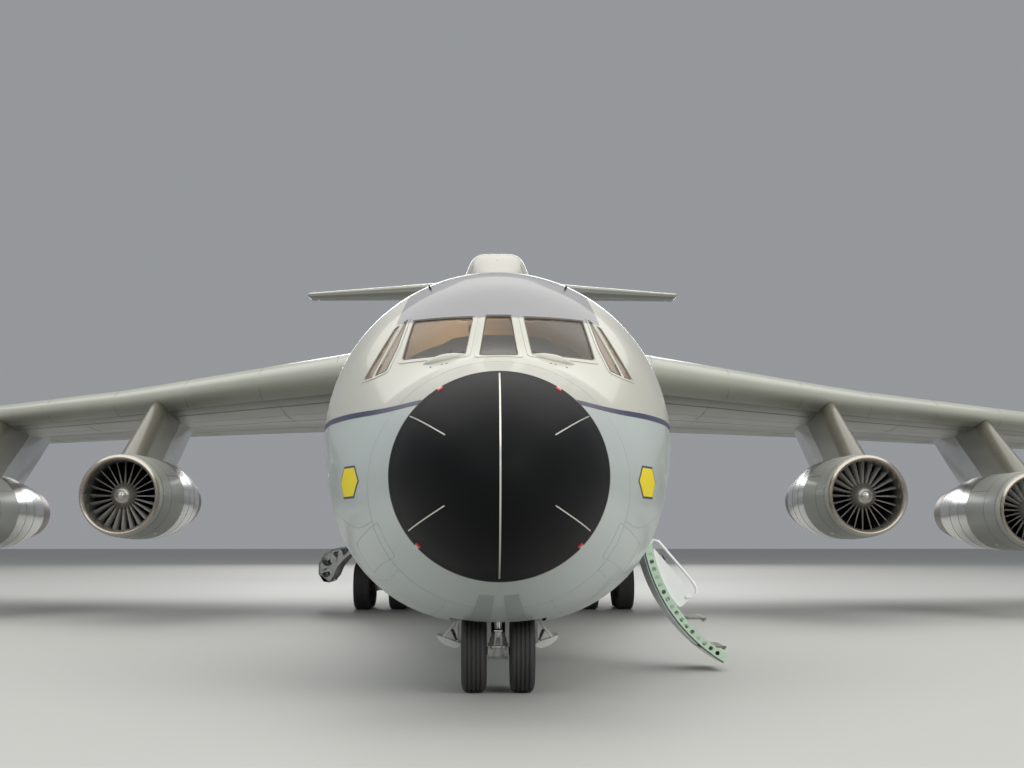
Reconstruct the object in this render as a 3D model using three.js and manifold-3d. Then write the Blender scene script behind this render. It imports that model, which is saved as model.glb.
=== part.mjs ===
// Half-scale model of a stretched four-engine military transport plane, parked on its gear.
// The nose points to -Y, the left wing to +X and up is +Z. The origin is on the ground, under the
// middle of the length and span.
import * as THREE from 'three';
import { mergeVertices } from 'three/addons/utils/BufferGeometryUtils.js';
import Module from 'manifold-3d';

const wasm = await Module();
wasm.setup();

// Every length below is a full-size length in metres. MM turns it into model millimetres.
const SCALE = 2;
const MM = 1000 / SCALE;
const TOUCH = 0.3 / MM;
const RUNNING = 0.8 / MM;
const CLEAR = 8 / MM;

const LENGTH = 51.29;
const WALL = 0.14;
const RING_SIDES = 24;
const ROUND_SIDES = 16;
const COWL_SIDES = 20;

// Fuselage outline: distance aft of the nose tip, half width, lowest and highest point.
const FUSELAGE = [
  [1.75, 1.1, 1.255, 3.345],
  [2.9, 1.52, 0.98, 3.66],
  [3.75, 1.8, 0.86, 4.2],
  [4.8, 2.04, 0.77, 4.76],
  [5.9, 2.16, 0.72, 5.04],
  [31.0, 2.16, 0.72, 5.04],
  [37.2, 2.1, 1.55, 5.04],
  [46.0, 0.95, 3.45, 4.85],
  [48.0, 0.35, 4.15, 4.7],
];
const SPLITS = { nose: 1.75, forward: 5.9, centre: 13.5, aft: 28.5, tail: 37.2, end: 48.0 };
const CABIN_START = 2.3;
const CABIN_END = 45.9;
const FLOOR_TOP = 1.6;
const FLOOR_THICK = 0.15;
const HOLD_HALF = 1.56;

// Lifting surfaces: distance out or up, leading edge y, chord, leading edge z, thickness ratio, incidence.
const WING = [
  [0, 15.9, 10.11, 5.36, 0.13, 4.9],
  [8.0, 19.89, 6.85, 4.66, 0.115, 3.0],
  [24.37, 28.05, 3.35, 3.75, 0.105, 0.5],
];
const FIN = [
  [4.4, 37.9, 9.6, 0, 0.11, 0],
  [11.45, 43.8, 4.6, 0, 0.11, 0],
];
const TAILPLANE = [
  [0, 46.0, 4.6, 11.62, 0.11, 0],
  [7.66, 49.45, 1.75, 11.66, 0.1, 0],
];
const CAMBER = 0.012;
const FOIL_STATIONS = [1, 0.72, 0.45, 0.25, 0.1, 0.02];

// Control surfaces: inner and outer end, hinge as a share of the chord, gap at the ends.
const AILERON = { ends: [15.6, 22.4], hinge: 0.75, side: 0.045 };
const ELEVATOR = { ends: [0.62, 7.3], hinge: 0.7, side: 0.04 };
const RUDDER = { ends: [5.35, 10.9], hinge: 0.72, side: 0.1 };
const PIN = { radius: 0.02, depth: 0.1 };
const BULLET = {
  z: 11.62,
  radii: [[43.2, 0], [43.9, 0.2], [45.3, 0.33], [47.6, 0.34], [49.6, 0.25], [51.29, 0]],
};

// Engines: each hangs ahead of and below the wing's leading edge at its own distance out.
const ENGINE_OUT = { inboard: 7.28, outboard: 11.3 };
const ENGINE_AHEAD = 3.1;
const ENGINE_BELOW = 2.22;
const COWL_OUTER = [[0, 0.735], [0.12, 0.8], [1.4, 0.85], [3.4, 0.82], [5.6, 0.56]];
const COWL_INNER = [[5.6, 0.52], [3.2, 0.72], [0.9, 0.69], [0.22, 0.665]];
const HUB = { radius: 0.22, front: 0.42, back: 0.76 };
const VANES = { count: 8, y: 0.66, chord: 0.14, thick: 0.03, reach: 0.669 };
const FAN = {
  front: 0.82, back: 1.14, hub: 0.2, tip: 0.655,
  blades: 10, chord: 0.17, thick: 0.022, stagger: 0.65,
};
const SHAFT_RADIUS = 0.06;
const CORE = { front: 1.22, back: 4.4, radius: 0.46, cone: 5.35 };
const PYLON = { half: 0.15, foot: [0.7, 5.0], head: [-0.1, 4.6] };

// Wheels: tyre radius and width, distance between twins.
const MAIN_TYRE = { radius: 0.56, width: 0.41, apart: 0.826, axle: 0.06 };
const NOSE_TYRE = { radius: 0.457, width: 0.28, apart: 0.53, axle: 0.045 };
const MAIN_GEAR = { x: 2.67, y: 23.8, axles: 1.22, well: 1.9, strut: 0.13, beam: 0.11 };
const NOSE_GEAR = {
  y: 3.7, top: 1.45, sleeve: 0.13, sleeveEnd: 0.98,
  piston: 0.08, pistonTop: 1.3, collar: 0.108,
};
const NOSE_BAY = { front: 2.55, back: 5.0, half: 0.42 };

// Crew door: place along the fuselage, height, hinge on the sill and how far it hangs open.
const CREW_DOOR = {
  front: 6.3, back: 7.2, top: 3.42, hinge: [1.8, 1.585],
  open: 135, pin: 0.02, knuckle: 0.045,
};
const RAMP = { front: 33.5, back: 37.16, rise: 0.75, lean: 0.31, hinge: [33.6, 1.52], pin: 0.03, lug: 0.7 };
const PETAL = { front: 37.29, back: 45.6, hingeSide: 5, rearGap: 0.045, pin: 0.025, knuckle: 0.05 };
const PETAL_KNUCKLES = [0.06, 0.92];

// Pod beside the main gear: y, centre x, half width, centre z, half height.
const POD = [
  [19.3, 2.1, 0.1, 1.72, 0.1],
  [20.6, 2.35, 0.6, 1.75, 0.45],
  [22.3, 2.42, 0.86, 1.77, 0.6],
  [25.4, 2.42, 0.86, 1.77, 0.6],
  [27.4, 2.3, 0.6, 1.78, 0.42],
  [28.4, 2.1, 0.1, 1.8, 0.1],
];
// Humps on the crown: y, half width at the foot, half width of the flat top, top height.
const RECEPTACLE = [
  [6.2, 0.3, 0.12, 5.03], [7.4, 0.5, 0.27, 5.42], [10.4, 0.5, 0.27, 5.42], [13.45, 0.26, 0.1, 5.06],
];
const WING_ROOT = [
  [13.6, 0.7, 0.3, 5.05], [15.9, 1.4, 0.9, 5.5], [22, 1.4, 0.9, 5.5], [28.3, 0.8, 0.3, 5.05],
];
const CROWN_FOOT = 4.5;

const LOOKS = {
  upper: [0xe4e2da, 0.45, 0.05],
  wing: [0x8d8a82, 0.5, 0.1],
  radome: [0x17171a, 0.55, 0],
  metal: [0x9a9a9c, 0.3, 0.9],
  dark: [0x2a2b2d, 0.6, 0.5],
  gear: [0xe8e8e4, 0.4, 0.1],
  tyre: [0x1c1c1d, 0.9, 0],
  glass: [0x39424a, 0.08, 0],
  inside: [0xb9b49f, 0.7, 0],
  primer: [0x7fa081, 0.6, 0],
  cushion: [0x3d4632, 0.9, 0],
};

// Volume of a closed triangle list, negative where its faces point in.
function signedVolume(points, triangles) {
  const at = (i) => new THREE.Vector3().fromArray(points, 3 * i);
  let volume = 0;
  for (let i = 0; i < triangles.length; i += 3) {
    const [a, b, c] = [triangles[i], triangles[i + 1], triangles[i + 2]].map(at);
    volume += a.dot(b.cross(c)) / 6;
  }
  return volume;
}

// A closed three.js geometry as a solid that can be joined and cut.
function solidOf(geometry) {
  geometry.deleteAttribute('normal');
  geometry.deleteAttribute('uv');
  const merged = mergeVertices(geometry, 1e-3);
  const index = merged.index.array;
  const triangles = [];
  for (let i = 0; i < index.length; i += 3) {
    const [a, b, c] = [index[i], index[i + 1], index[i + 2]];
    if (a !== b && b !== c && c !== a) triangles.push(a, b, c);
  }
  const points = Float32Array.from(merged.attributes.position.array);
  if (signedVolume(points, triangles) < 0) triangles.reverse();
  const mesh = new wasm.Mesh({ numProp: 3, vertProperties: points, triVerts: Uint32Array.from(triangles) });
  return new wasm.Manifold(mesh);
}

function geometryOf(solid) {
  const mesh = solid.getMesh();
  const geometry = new THREE.BufferGeometry();
  geometry.setAttribute('position', new THREE.BufferAttribute(Float32Array.from(mesh.vertProperties), 3));
  geometry.setIndex(Array.from(mesh.triVerts));
  geometry.computeVertexNormals();
  return geometry;
}

const join = (first, ...others) => others.reduce((sum, solid) => sum.add(solid), first);
const cut = (first, ...others) => others.reduce((rest, solid) => rest.subtract(solid), first);
const common = (first, ...others) => others.reduce((rest, solid) => rest.intersect(solid), first);

// A skin through rings of equal point counts, closed by a fan at both ends.
function loft(rings) {
  const count = rings[0].length;
  const faces = [];
  for (let ring = 0; ring < rings.length - 1; ring++) {
    for (let i = 0; i < count; i++) {
      const a = ring * count + i;
      const b = ring * count + ((i + 1) % count);
      faces.push(a, b, b + count, a, b + count, a + count);
    }
  }
  const last = (rings.length - 1) * count;
  for (let i = 1; i < count - 1; i++) faces.push(0, i + 1, i, last, last + i, last + i + 1);
  const geometry = new THREE.BufferGeometry();
  const points = rings.flat(2).map((value) => value * MM);
  geometry.setAttribute('position', new THREE.Float32BufferAttribute(points, 3));
  geometry.setIndex(faces);
  return solidOf(geometry);
}

function box([x0, x1], [y0, y1], [z0, z1]) {
  const geometry = new THREE.BoxGeometry((x1 - x0) * MM, (y1 - y0) * MM, (z1 - z0) * MM);
  geometry.translate(((x0 + x1) / 2) * MM, ((y0 + y1) / 2) * MM, ((z0 + z1) / 2) * MM);
  return solidOf(geometry);
}

// A prism whose outline is given as [x, z] points and runs along Y, or as [y, z] points along X.
const prismAlongY = (outline, y0, y1) => loft([y0, y1].map((y) => outline.map(([x, z]) => [x, y, z])));
const prismAlongX = (outline, x0, x1) => loft([x0, x1].map((x) => outline.map(([y, z]) => [x, y, z])));

// A round rod between two points.
function rod(from, to, radius, sides = 10) {
  const start = new THREE.Vector3(...from).multiplyScalar(MM);
  const end = new THREE.Vector3(...to).multiplyScalar(MM);
  const along = end.clone().sub(start);
  const geometry = new THREE.CylinderGeometry(radius * MM, radius * MM, along.length(), sides);
  const turn = new THREE.Quaternion().setFromUnitVectors(new THREE.Vector3(0, 1, 0), along.normalize());
  geometry.applyQuaternion(turn);
  geometry.translate(...start.add(end).multiplyScalar(0.5).toArray());
  return solidOf(geometry);
}

// A turned solid about the Y axis from [y, radius] points, from axis to axis or closed on itself.
function turned(profile, sides = ROUND_SIDES, closed = false) {
  const points = profile.map(([y, radius]) => new THREE.Vector2(radius * MM, y * MM));
  if (closed) points.push(points[0].clone());
  return solidOf(new THREE.LatheGeometry(points, sides, Math.PI / sides));
}

const degrees = THREE.MathUtils.degToRad;

function rowAt(table, key) {
  const next = Math.max(1, table.findIndex((row) => row[0] >= key));
  const [low, high] = [table[next - 1], table[next]];
  const share = (key - low[0]) / (high[0] - low[0]);
  return low.map((value, i) => value + share * (high[i] - value));
}
const rowsBetween = (table, from, to) => [
  rowAt(table, from),
  ...table.filter(([key]) => key > from + 0.01 && key < to - 0.01),
  rowAt(table, to),
];

// Fuselage rings, drawn in by an inset.
function fuselageRing([y, half, low, high], inset) {
  const middle = (low + high) / 2;
  const reach = (high - low) / 2 - inset;
  return Array.from({ length: RING_SIDES }, (_, i) => {
    const angle = (2 * Math.PI * i) / RING_SIDES;
    return [(half - inset) * Math.sin(angle), y, middle - reach * Math.cos(angle)];
  });
}
const wholeBodies = new Map();
function fuselageBody(from, to, inset = 0) {
  if (!wholeBodies.has(inset)) wholeBodies.set(inset, loft(FUSELAGE.map((row) => fuselageRing(row, inset))));
  return common(wholeBodies.get(inset), box([-3, 3], [from, to], [0, 6]));
}
const cabinSpace = (from, to) => fuselageBody(from - 0.05, to + 0.05, WALL);
const fuselageTube = (from, to) => cut(fuselageBody(from + TOUCH / 2, to - TOUCH / 2), cabinSpace(from, to));

// Lifting surface sections. An upright one, such as a fin, has its distance along Z.
const halfThickness = (f) =>
  5 * (0.2969 * Math.sqrt(f) - 0.126 * f - 0.3516 * f ** 2 + 0.2843 * f ** 3 - 0.1 * f ** 4);
function foilPoint([out, y, chord, z, , incidence], fraction, rise, { side = 1, upright = false }) {
  const tilt = degrees(incidence);
  const aft = chord * fraction;
  const up = chord * rise;
  if (upright) return [up, y + aft, out];
  const [sin, cos] = [Math.sin(tilt), Math.cos(tilt)];
  return [side * out, y + aft * cos + up * sin, z - aft * sin + up * cos];
}
const camberAt = (f, { upright = false }) => (upright ? 0 : 4 * CAMBER * f * (1 - f));
function foilRing(row, shape, grow = 0) {
  const [, , chord, , ratio] = row;
  const extra = grow / chord;
  const stretch = (f) => f + extra * (2 * f - 1);
  const upper = FOIL_STATIONS.map((f) => [f, halfThickness(f) * ratio + extra]);
  const lower = [...FOIL_STATIONS].reverse().map((f) => [f, -halfThickness(f) * ratio - extra]);
  return [...upper, [0, 0], ...lower].map(([f, rise]) =>
    foilPoint(row, stretch(f), rise + camberAt(f, shape), shape));
}
const foilBody = (table, from, to, shape, grow = 0) =>
  loft(rowsBetween(table, from, to).map((row) => foilRing(row, shape, grow)));

// A block across a foil, from a share of its chord to past its trailing edge.
function foilBlock(table, [from, to], startShare, shape) {
  return loft([from, to].map((out) => {
    const row = rowAt(table, out);
    const start = startShare(row);
    const corners = [[start, -0.3], [1.3, -0.3], [1.3, 0.3], [start, 0.3]];
    return corners.map(([f, rise]) => foilPoint(row, f, rise, shape));
  }));
}
const noseShare = (row, hinge) => halfThickness(hinge) * row[4];

// A straight hinge line between two points, and rods along it from one share of its length to another.
function hingeLine(from, to) {
  const point = (share) => from.map((value, i) => value + share * (to[i] - value));
  const length = Math.hypot(...from.map((value, i) => to[i] - value));
  return { length, along: (start, end, radius) => rod(point(start), point(end), radius) };
}

// A control surface with a round nose about its hinge line, the cove that it turns in, and a pin at each
// end of the cove that runs in the nose.
function controlSurface(table, { ends, hinge, side }, shape) {
  const nose = loft(ends.map((out) => {
    const row = rowAt(table, out);
    return Array.from({ length: 12 }, (_, i) => {
      const angle = (Math.PI * i) / 6;
      const reach = noseShare(row, hinge);
      const rise = reach * Math.sin(angle) + camberAt(hinge, shape);
      return foilPoint(row, hinge + reach * Math.cos(angle), rise, shape);
    });
  }));
  const blade = common(foilBody(table, ...ends, shape), foilBlock(table, ends, () => hinge, shape));
  const coveEnds = [ends[0] - side, ends[1] + side];
  const coveStart = (row) => hinge - noseShare(row, hinge) - CLEAR / row[2];
  const line = hingeLine(...ends.map((out) => {
    const row = rowAt(table, out);
    return foilPoint(row, hinge, camberAt(hinge, shape), shape);
  }));
  const reach = PIN.depth / line.length;
  const out = (side + PIN.depth) / line.length;
  const rods = (radius, extra) => join(
    line.along(-out, reach + extra, radius),
    line.along(1 - reach - extra, 1 + out, radius),
  );
  return {
    surface: cut(join(blade, nose), rods(PIN.radius + RUNNING, 0.005)),
    cove: foilBlock(table, coveEnds, coveStart, shape),
    pins: rods(PIN.radius, 0),
  };
}

// The model and its pieces.
const plane = new THREE.Group();
const airframe = new THREE.Group();
airframe.position.y = (-LENGTH / 2) * MM;
plane.add(airframe);

function addPiece(name, solid, look, place = [0, 0, 0]) {
  const [color, roughness, metalness] = LOOKS[look];
  const material = new THREE.MeshStandardMaterial({ color, roughness, metalness });
  const mesh = new THREE.Mesh(geometryOf(solid), material);
  mesh.name = name;
  mesh.position.set(...place.map((value) => value * MM));
  airframe.add(mesh);
  return mesh;
}
const SIDES = [['left', 1], ['right', -1]];

// Nose: radome, front shell with its window holes and gear bay, and the panes.
function addRadome() {
  const [, half, low, high] = FUSELAGE[0];
  const tip = [[0, 0.05, 2.25], [0.12, 0.3, 2.25], [0.5, 0.62, 2.26], [1.1, 0.92, 2.28]];
  const rings = tip.map(([y, radius, z]) => fuselageRing([y, radius, z - radius, z + radius], 0));
  rings.push(fuselageRing([SPLITS.nose - TOUCH, half, low, high], 0));
  addPiece('radome', loft(rings), 'radome');
}

// Window outlines seen from the front, as [x, z] of the left side.
const PANE_OUTLINES = {
  centre: [[-0.205, 3.64], [0.205, 3.64], [0.14, 4.19], [-0.14, 4.19]],
  windshield: [[0.36, 3.62], [1.07, 3.6], [0.97, 4.26], [0.285, 4.2]],
  inner_side: [[1.245, 3.535], [1.372, 3.49], [1.1, 4.163], [1.057, 4.19], [1.14, 3.82]],
  outer_side: [[1.41, 3.48], [1.505, 3.464], [1.19, 4.11], [1.135, 4.135]],
};
const PANES = [
  { name: 'windshield_centre', side: 1, outline: PANE_OUTLINES.centre },
  ...SIDES.flatMap(([name, side]) => [
    { name: `windshield_${name}`, side, outline: PANE_OUTLINES.windshield },
    { name: `side_window_${name}_front`, side, outline: PANE_OUTLINES.inner_side },
    { name: `side_window_${name}_rear`, side, outline: PANE_OUTLINES.outer_side },
  ]),
];
const PANE_DEPTH = [2.4, 5.2];
// An outline whose edges all move in by the same amount.
function shrinkOutline(outline, amount) {
  const inward = (from, to) => {
    const length = Math.hypot(to[0] - from[0], to[1] - from[1]);
    return [(from[1] - to[1]) / length, (to[0] - from[0]) / length];
  };
  return outline.map((point, i) => {
    const before = inward(outline.at(i - 1), point);
    const after = inward(point, outline[(i + 1) % outline.length]);
    const reach = amount / (1 + before[0] * after[0] + before[1] * after[1]);
    return [point[0] + (before[0] + after[0]) * reach, point[1] + (before[1] + after[1]) * reach];
  });
}
function paneCutter({ side, outline }, gap) {
  const inside = shrinkOutline(outline, gap);
  return prismAlongY(inside.map(([x, z]) => [side * x, z]), ...PANE_DEPTH);
}
function addNose() {
  const cabin = common(cabinSpace(CABIN_START + 0.05, SPLITS.forward), box([-3, 3], [2, 7], [FLOOR_TOP, 6]));
  const bay = box([-NOSE_BAY.half, NOSE_BAY.half], [NOSE_BAY.front, NOSE_BAY.back], [0, NOSE_GEAR.top]);
  const shell = cut(fuselageBody(SPLITS.nose, SPLITS.forward - TOUCH / 2), cabin, bay);
  addPiece('nose_section', cut(shell, ...PANES.map((pane) => paneCutter(pane, 0))), 'upper');
  const glassLayer = cut(fuselageBody(2.4, 5.6, 0.02), fuselageBody(2.3, 5.7, 0.06));
  PANES.forEach((pane) => addPiece(pane.name, common(glassLayer, paneCutter(pane, 1.5 * TOUCH)), 'glass'));
}

// Flight deck: floor, panel with its pedestal, and the rear wall with a doorway.
const DECK = { top: 2.62, thick: 0.12, front: CABIN_START + 0.02, back: 5.85 };
function addFlightDeck() {
  const space = fuselageBody(CABIN_START, DECK.back, WALL + TOUCH);
  const floor = box([-3, 3], [DECK.front, DECK.back], [DECK.top - DECK.thick, DECK.top]);
  const panel = box([-1.15, 1.15], [2.75, 3.2], [DECK.top - 0.01, 3.4]);
  const pedestal = box([-0.2, 0.2], [3.1, 4.2], [DECK.top - 0.01, 3.1]);
  const wall = box([-3, 3], [DECK.back - 0.1, DECK.back], [DECK.top - 0.01, 6]);
  const doorway = box([-0.36, 0.36], [5, 6], [DECK.top, 4.45]);
  addPiece('flight_deck', common(cut(join(floor, panel, pedestal, wall), doorway), space), 'inside');
  [['pilot_seat', 0.62], ['copilot_seat', -0.62]].forEach(([name, x]) => {
    const z = DECK.top + TOUCH;
    const base = box([x - 0.18, x + 0.18], [4.1, 4.5], [z, z + 0.32]);
    const seat = box([x - 0.26, x + 0.26], [4.0, 4.6], [z + 0.3, z + 0.46]);
    const back = box([x - 0.26, x + 0.26], [4.48, 4.62], [z + 0.4, z + 1.15]);
    addPiece(name, join(base, seat, back), 'cushion');
  });
}

// Forward fuselage with the crew doorway, and the door hanging open with its steps.
const doorHinge = [CREW_DOOR.hinge[0], 0, CREW_DOOR.hinge[1]];
function turnAboutY(solid, centre, angle) {
  const geometry = geometryOf(solid);
  const [x, y, z] = centre.map((value) => value * MM);
  geometry.translate(-x, -y, -z);
  geometry.rotateY(degrees(angle));
  return solidOf(geometry);
}
function addForwardFuselage() {
  const { front, back, top, open, pin, knuckle, hinge: [hingeX, hingeZ] } = CREW_DOOR;
  const doorway = box([1, 3], [front, back], [FLOOR_TOP, top]);
  const hingeRod = (inset, radius) => (
    rod([hingeX, front + inset, hingeZ], [hingeX, back - inset, hingeZ], radius)
  );
  const lugs = [front, back - 0.05].map((y) => box([1.65, hingeX + 0.03], [y, y + 0.05], [1.55, FLOOR_TOP]));
  const tube = cut(fuselageTube(SPLITS.forward, SPLITS.centre), doorway);
  addPiece('forward_fuselage', join(tube, ...lugs, hingeRod(0.02, pin)), 'upper');
  const leaf = common(
    cut(fuselageBody(5.95, 8), fuselageBody(5.9, 8.1, 0.08)),
    box([1, 3], [front + CLEAR, back - CLEAR], [FLOOR_TOP + 0.015, top - CLEAR]),
  );
  const arms = [front + 0.12, back - 0.2].map((y) => box([1.73, hingeX], [y, y + 0.08], [hingeZ, 1.74]));
  const barrel = join(leaf, ...arms, hingeRod(0.08, knuckle));
  const opened = turnAboutY(cut(barrel, hingeRod(0, pin + RUNNING)), doorHinge, open);
  const slope = degrees(-55);
  const along = (distance, lift) => [
    distance * Math.cos(slope) - lift * Math.sin(slope),
    distance * Math.sin(slope) + lift * Math.cos(slope),
  ];
  const edge = [front + 0.05, back - 0.05];
  const cheeks = edge.map((y, i) => {
    const outline = [along(0.1, -0.03), along(1.7, -0.03), along(1.7, 0.12), along(0.18, 0.2)];
    return prismAlongY(outline, y, y + (i ? -0.04 : 0.04));
  });
  const steps = [0.3, 0.74, 1.18, 1.62].map((distance) => {
    const [x, z] = along(distance, 0.1);
    return box([x - 0.12, x + 0.12], [edge[0] + 0.01, edge[1] - 0.01], [z - 0.03, z]);
  });
  const railFoot = along(1.55, 0.05);
  const railKnee = along(1.2, 0.34);
  const railHead = along(0.25, 0.3);
  const points = [railFoot, railKnee, railHead].map(([x, z]) => [x, edge[0] + 0.02, z]);
  const rail = join(rod(points[0], points[1], 0.02, 8), rod(points[1], points[2], 0.02, 8));
  addPiece('crew_door', join(opened, ...cheeks, ...steps, rail), 'primer', doorHinge);
}

// A hump on the crown: rings with a flat top and sloping sides.
const humpBody = (table) => loft(table.map(([y, foot, flat, top]) => [
  [-foot, y, CROWN_FOOT], [foot, y, CROWN_FOOT], [foot, y, top - 0.3 * (foot - flat) - 0.04],
  [flat, y, top], [-flat, y, top], [-foot, y, top - 0.3 * (foot - flat) - 0.04],
]));

const wingBody = (side, grow = 0) => foilBody(WING, -grow, 24.37, { side }, grow);
function addCentreFuselage() {
  const hump = cut(humpBody(WING_ROOT), cabinSpace(SPLITS.centre, SPLITS.aft));
  const tube = join(fuselageTube(SPLITS.centre, SPLITS.aft), hump);
  addPiece('centre_fuselage', cut(tube, wingBody(1, TOUCH), wingBody(-1, TOUCH)), 'upper');
  const receptacle = cut(humpBody(RECEPTACLE), fuselageBody(5, 16, -TOUCH));
  addPiece('receptacle_fairing', receptacle, 'upper');
}

// Aft fuselage, open under the ramp, and the tail with its petal doors.
function addAftFuselage() {
  const { front, back, rise, lean } = RAMP;
  const rampHole = box([-HOLD_HALF - 0.02, HOLD_HALF + 0.02], [front, back + 1], [0, 3]);
  addPiece('aft_fuselage', cut(fuselageTube(SPLITS.aft, SPLITS.tail), rampHole), 'upper');
  const start = front + 0.03;
  const side = [[start, FLOOR_TOP], [back, FLOOR_TOP + rise], [back, 0], [start + lean, 0.8]];
  const ramp = common(fuselageBody(33, 38), prismAlongX(side, -HOLD_HALF, HOLD_HALF));
  const notches = SIDES.map(([, sign]) => rampLug(sign, 0.08, [front - 0.2, front + 0.25], [1.3, 1.7]));
  addPiece('cargo_ramp', cut(ramp, ...notches, ...SIDES.map(([, sign]) => rampPin(sign, RUNNING))), 'upper');
}
function rampLug(sign, half, along, height) {
  const x = sign * RAMP.lug;
  return box([x - half, x + half], along, height);
}
function rampPin(sign, grow) {
  const [y, z] = RAMP.hinge;
  const [x, half] = [sign * RAMP.lug, 0.15 + grow];
  return rod([x - half, y, z], [x + half, y, z], RAMP.pin + grow);
}
const petalHinge = (y) => {
  const [, half, low, high] = rowAt(FUSELAGE, y);
  const angle = (2 * Math.PI * PETAL.hingeSide) / RING_SIDES;
  return { x: half * Math.sin(angle), z: (low + high) / 2 - ((high - low) / 2) * Math.cos(angle) };
};
const belowHinge = (from, to, drop, x0, x1) => {
  const top = (y) => petalHinge(y).z - drop;
  return prismAlongX([[from, 0], [to, 0], [to, top(to)], [from, top(from)]], x0, x1);
};
function addTail() {
  const tube = cut(fuselageBody(SPLITS.tail + TOUCH / 2, SPLITS.end), cabinSpace(SPLITS.tail, CABIN_END));
  const lines = SIDES.map(([, side]) => hingeLine(...[PETAL.front, PETAL.back].map((y) => {
    const { x, z } = petalHinge(y);
    return [side * x, y, z];
  })));
  const rods = (line, half, radius) =>
    PETAL_KNUCKLES.map((share) => line.along(share - half, share + half, radius));
  const { pin, knuckle } = PETAL;
  const pockets = lines.flatMap((line) => rods(line, 0.022, knuckle + CLEAR));
  const pins = lines.flatMap((line) => rods(line, 0.03, pin));
  const upper = cut(tube, belowHinge(37, PETAL.back + PETAL.rearGap, 0, -3, 3), ...pockets);
  addPiece('tail_section', join(upper, ...pins), 'upper');
  SIDES.forEach(([name, side], i) => {
    const shell = cut(fuselageBody(37.2, 46), fuselageBody(37.1, 46.1, WALL));
    const region = belowHinge(PETAL.front, PETAL.back, CLEAR, side * CLEAR, side * 3);
    const leaf = cut(common(shell, region), lines[i].along(0, 1, pin + CLEAR));
    const knuckles = rods(lines[i], 0.02, knuckle);
    const door = cut(join(leaf, ...knuckles), ...rods(lines[i], 0.031, pin + RUNNING));
    addPiece(`petal_door_${name}`, door, 'upper');
  });
}
function addCargoFloor() {
  const space = fuselageBody(5.92, RAMP.front - 0.05, WALL + TOUCH);
  const slab = common(space, box([-3, 3], [5.9, 34], [FLOOR_TOP - FLOOR_THICK, FLOOR_TOP]));
  const [y, z] = RAMP.hinge;
  const [lugY, lugZ] = [[RAMP.front - 0.1, y + 0.04], [z - 0.05, z + 0.05]];
  const lugs = SIDES.map(([, sign]) => rampLug(sign, 0.06, lugY, lugZ));
  addPiece('cargo_floor', join(slab, ...lugs, ...SIDES.map(([, sign]) => rampPin(sign, 0))), 'inside');
}

// Wings with their ailerons, fin with its rudder, tailplane with its bullet and elevators.
function addWings() {
  SIDES.forEach(([name, side]) => {
    const { surface, cove, pins } = controlSurface(WING, AILERON, { side });
    const body = foilBody(WING, TOUCH / 2, 24.37, { side });
    addPiece(`wing_${name}`, join(cut(body, cove), pins), 'wing');
    addPiece(`aileron_${name}`, surface, 'wing');
  });
}
const atBullet = (solid) => solid.translate([0, 0, BULLET.z * MM]);
const bullet = (grow) => {
  const radii = BULLET.radii.map(([y, radius]) => [y, radius ? radius + grow : 0]);
  return atBullet(turned(radii, 12));
};
function addTailSurfaces() {
  const upright = { upright: true };
  const { surface, cove, pins } = controlSurface(FIN, RUDDER, upright);
  const tail = SIDES.map(([, side]) => foilBody(TAILPLANE, 0, 7.66, { side }));
  const above = SIDES.map(([, side]) => foilBody(TAILPLANE, -TOUCH, 7.66, { side }, TOUCH));
  const fuselage = fuselageBody(36, SPLITS.end, -TOUCH);
  const body = foilBody(FIN, 4.5, 11.45, upright);
  addPiece('fin', cut(join(cut(body, cove), pins), fuselage, bullet(TOUCH), ...above), 'wing');
  addPiece('rudder', surface, 'wing');
  const elevators = SIDES.map(([, side]) => controlSurface(TAILPLANE, ELEVATOR, { side }));
  const fixed = cut(join(...tail, bullet(0)), ...elevators.map((item) => item.cove));
  addPiece('tailplane', join(fixed, ...elevators.map((item) => item.pins)), 'wing');
  SIDES.forEach(([name], i) => addPiece(`elevator_${name}`, elevators[i].surface, 'wing'));
}

// Engines: cowl, fixed engine with guide vanes, fan and pylon.
function engineBody() {
  const vanes = Array.from({ length: VANES.count }, (_, i) => {
    const vane = new THREE.BoxGeometry(VANES.thick * MM, VANES.chord * MM, VANES.reach * MM);
    vane.translate(0, VANES.y * MM, (VANES.reach / 2) * MM);
    vane.rotateY((2 * Math.PI * i) / VANES.count);
    return solidOf(vane);
  });
  const { radius, front, back } = HUB;
  const dome = [[front, 0], [front + 0.05, 0.12], [front + 0.16, radius], [back, radius], [back, 0]];
  const hub = turned(dome, 16);
  const shaft = rod([0, back - 0.02, 0], [0, CORE.front + 0.02, 0], SHAFT_RADIUS, ROUND_SIDES);
  const core = turned([
    [CORE.front, 0], [CORE.front, CORE.radius], [CORE.back, CORE.radius * 0.8],
    [CORE.cone, 0.05], [CORE.cone, 0],
  ], ROUND_SIDES);
  return join(hub, shaft, core, ...vanes);
}
function fanBody() {
  const { front, back, hub, tip, blades, chord, thick, stagger } = FAN;
  const bladeList = Array.from({ length: blades }, (_, i) => {
    const reach = tip - hub / 2;
    const blade = new THREE.BoxGeometry(thick * MM, chord * MM, reach * MM);
    blade.translate(0, 0, (hub / 2 + reach / 2) * MM);
    blade.rotateZ(stagger);
    blade.rotateY((2 * Math.PI * i) / blades);
    blade.translate(0, ((front + back) / 2) * MM, 0);
    return solidOf(blade);
  });
  const drum = turned([[front, 0], [front, hub], [back, hub], [back, 0]], 12);
  const bore = rod([0, front - 0.1, 0], [0, back + 0.1, 0], SHAFT_RADIUS + RUNNING, ROUND_SIDES);
  return cut(join(drum, ...bladeList), bore);
}
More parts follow.
